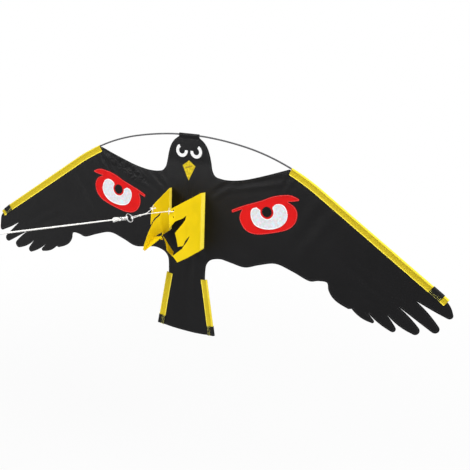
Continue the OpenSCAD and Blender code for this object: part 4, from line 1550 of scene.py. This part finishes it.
class KITE_OT_talons(bpy.types.Operator):
    """Cut the talons, bend their claws, fold their hems and punch their holes"""

    bl_idname = "kite.talons"
    bl_label = "Talons"

    cloth_t = 0.7 * MM
    hole_sides = 14
    # The hem along the fold, in millimetres, and how far out its two rows of stitches lie
    hem_t = 1.7
    hem_w = 14.0
    fold_r = 1.0
    hem_rows = (12.2, 3.5)
    hem_from, fold_turn = 1.5, (math.radians(60), math.radians(300))
    # Its stitches: share of the stitch length, thickness, and height over the hem
    hem_share, hem_thread, hem_proud = 0.7, 0.34 * MM, 0.08 * MM
    # The flap's soft curve: its depth, the depth and length of its ripples, and where it is held flat
    curve, ripple, ripple_l = 1.3, 0.5, 30
    free_of_fold, tow_out, tow_up = (10, 40), (96, 104), (40, 52)
    # Claws: the lines above and below each one, as height at the fold and slope, and its root line
    claws = (
        ((78, 0), (67.4, -0.34), (96, 0)),
        ((67.4, -0.34), (22, -0.6), (51, 0.245)),
        ((22, -0.6), (-90, 0), (54, 0)),
    )
    # Bends of the claws: side, claw, angle outwards, drop of its end and how far it narrows to its end
    bends = (
        (-1, 1, 34, 33, 0.5),
        (1, 0, 8, 0, 0),
        (1, 1, 8, 1, 0),
        (1, 2, -7, 0, 0),
    )
    bend_reach = 18
    claw_l = 50
    droop = 2.4
    # Heights between which the bridle comes to hold the uppermost claw still
    tow_held = (42, 56)
    # The left talon's loose corner: its crease, the slit beside its lowest claw, and how both sides hang
    loose_z = -12
    slit = (50, 57)
    corner_turn, claw_turn = math.radians(54), math.radians(-36)
    claw_in, claw_up = math.radians(12), math.radians(8)
    corner_out, claw_longer = 0.2, 1.12

    def execute(self, context):
        for name, side in SIDES:
            self.talon(Flap(name, side), context.scene.kite_sizes)
        return {"FINISHED"}

    def talon(self, flap, sizes):
        bm = new_mesh()
        bm.faces.new([bm.verts.new(flap.spot(u, z)) for u, z in TALON_EDGE])
        cut_grid(bm, flap.fold, (flap.out, UP), sizes.cell * 0.8)
        for u, z, radius in (TOW_HOLE, SPARE_HOLE):
            self.punch(bm, flap, flap.spot(u, z), radius * MM)
        if flap.side < 0:
            self.cut_slit(bm, flap)
        bmesh.ops.translate(bm, vec=flap.face * (-self.cloth_t / 2), verts=bm.verts)
        thicken(bm, flap.face * self.cloth_t)
        self.shape(bm, flap)
        cloth = piece(f"{flap.node}_cloth", bm, "talon", flap.node, "talon_cloth", [flap.node])
        low = self.loose_z + 1 if flap.side < 0 else TALON_LOW
        self.hem(flap, low)
        self.hem_stitches(flap, low, sizes)

    def punch(self, bm, flap, centre, radius):
        """Cuts a round hole in a flat sheet"""
        for across, high in arc(1, round_turn(self.hole_sides)):
            normal = flap.out * across + UP * high
            near = [f for f in bm.faces if (f.calc_center_median() - centre).length < 4 * radius]
            edges = dict.fromkeys(e for f in near for e in f.edges)
            verts = dict.fromkeys(v for f in near for v in f.verts)
            cut(bm, [*near, *edges, *verts], centre + normal * radius, normal)
        inside = [f for f in bm.faces if (f.calc_center_median() - centre).length < radius * 0.99]
        bmesh.ops.delete(bm, geom=inside, context="FACES")

    def cut_slit(self, bm, flap):
        """Cuts the lowest claw loose from the corner beside it"""
        gone = []
        for f in bm.faces:
            u, z = flap.measure(f.calc_center_median())
            if self.slit[0] < u < self.slit[1] and z < self.loose_z - 3:
                gone.append(f)
        bmesh.ops.delete(bm, geom=gone, context="FACES")

    def hang(self, flap, u, z):
        """Where a point below the crease hangs"""
        below = self.loose_z - z
        corner = u < sum(self.slit) / 2
        turn = (self.corner_turn if corner else self.claw_turn) * smooth(below, 0, 5)
        down = -UP * math.cos(turn) - flap.face * math.sin(turn)
        if corner:
            hung = flap.out * u + (down + flap.out * self.corner_out) * below
        else:
            ahead = flap.out * math.cos(self.claw_in) + flap.face * math.sin(self.claw_in)
            ahead += UP * math.sin(self.claw_up)
            hung = flap.out * self.slit[1] + ahead * (u - self.slit[1]) + down * below * self.claw_longer
        return flap.spot(0, self.loose_z) + hung * MM

    def shape(self, bm, flap):
        """Bends the claws and lets the flap curve softly, and marks the cloth's own directions"""
        along, across, _ = marks(bm)
        for v in bm.verts:
            u, z = flap.measure(v.co)
            beside = flap.face * (v.co - flap.fold).dot(flap.face)
            v[along], v[across] = z * MM, u * MM
            lift = self.curve * math.sin(u / 128 * math.pi) * math.sin((z + 60) / 150 * math.pi)
            lift += self.ripple * noise.noise(Vector((u / self.ripple_l, z / self.ripple_l, flap.side)))
            lift *= smooth(u, *self.free_of_fold) * (1 - smooth(u, *self.tow_out) * smooth(z, *self.tow_up))
            if flap.side < 0 and z < self.loose_z:
                v.co = self.hang(flap, u, z) + beside
            else:
                v.co += flap.face * (flap.side * lift * MM) + self.bent(flap, u, z)

    def bent(self, flap, u, z):
        """How far a point is moved by the bends of its claw"""
        moved = Vector()
        for side, claw, angle, drop, narrow in self.bends:
            above, below, root = (line[0] + line[1] * x for line, x in zip(self.claws[claw], (u, u, z)))
            if side == flap.side and below < z < above and u > root:
                free = 1 - smooth(z, *self.tow_held) if claw == 0 else 1
                bend = math.radians(angle) * smooth(u - root, 0, self.bend_reach) * free
                share = ((u - root) / self.claw_l) ** self.droop
                fall = drop * share + (z - (above + below) / 2) * narrow * share
                shift = flap.out * (math.cos(bend) - 1) - flap.face * math.sin(bend)
                moved += (shift * (u - root) - UP * fall) * MM
        return moved

    def hem(self, flap, low):
        """The doubled edge along the fold, rounded where the cloth turns back"""
        half = self.hem_t / 2
        profile = [(self.hem_w, -half), (self.hem_w, half), (self.hem_from, half)]
        profile += arc(self.fold_r, spaced(10, *self.fold_turn)) + [(self.hem_from, -half)]
        turn = Matrix((flap.out, flap.face, UP)).transposed().to_4x4()
        frames = [Matrix.Translation(flap.spot(0, z)) @ turn for z in spaced(40, low, TALON_TOP)]
        bm = new_mesh()
        sweep(bm, [(u * MM, lift * MM) for u, lift in profile], frames, flat=True)
        return piece(f"{flap.node}_hem", bm, "hem", flap.node, "talon_cloth")

    def hem_stitches(self, flap, low, sizes):
        """Two rows of stitches along the hem, on both of its faces"""
        thread = bmesh.new()
        count = round((TALON_TOP - low) / (sizes.stitch_l / MM))
        for i in range(count):
            z = low + (TALON_TOP - low) * (i + 0.5) / count
            for u in self.hem_rows:
                for lift in reversed(both_faces(self.hem_t / 2 * MM, self.hem_proud)):
                    length = sizes.stitch_l * self.hem_share
                    stitch(thread, flap.spot(u, z, lift), UP, length, self.hem_thread)
        return stitches(f"{flap.node}_stitches", thread, "amber_thread", flap.node, "talon_cloth")


class KITE_PT_build(bpy.types.Panel):
    """Lists the steps that build the kite"""

    bl_idname = "KITE_PT_build"
    bl_label = "Hawk Kite"
    bl_space_type = "VIEW_3D"
    bl_region_type = "UI"
    bl_category = "Kite"

    def draw(self, context):
        for step in STEPS:
            self.layout.operator(step.bl_idname)
        for group in (context.scene.kite_sizes, context.scene.kite_colours):
            box = self.layout.box()
            for name in group.__annotations__:
                box.prop(group, name)


STEPS = (
    KITE_OT_stage, KITE_OT_line, KITE_OT_bridle, KITE_OT_tow_gear, KITE_OT_sail, KITE_OT_bow,
    KITE_OT_sleeves, KITE_OT_pictures, KITE_OT_talons,
)
CLASSES = (KiteSizes, KiteColours, *STEPS, KITE_PT_build)


def register():
    for cls in CLASSES:
        bpy.utils.register_class(cls)
    bpy.types.Scene.kite_sizes = PointerProperty(type=KiteSizes)
    bpy.types.Scene.kite_colours = PointerProperty(type=KiteColours)


def unregister():
    del bpy.types.Scene.kite_colours
    del bpy.types.Scene.kite_sizes
    for cls in reversed(CLASSES):
        bpy.utils.unregister_class(cls)


def main():
    register()
    for step in STEPS:
        group, name = step.bl_idname.split(".")
        getattr(getattr(bpy.ops, group), name)()


if __name__ == "__main__":
    main()
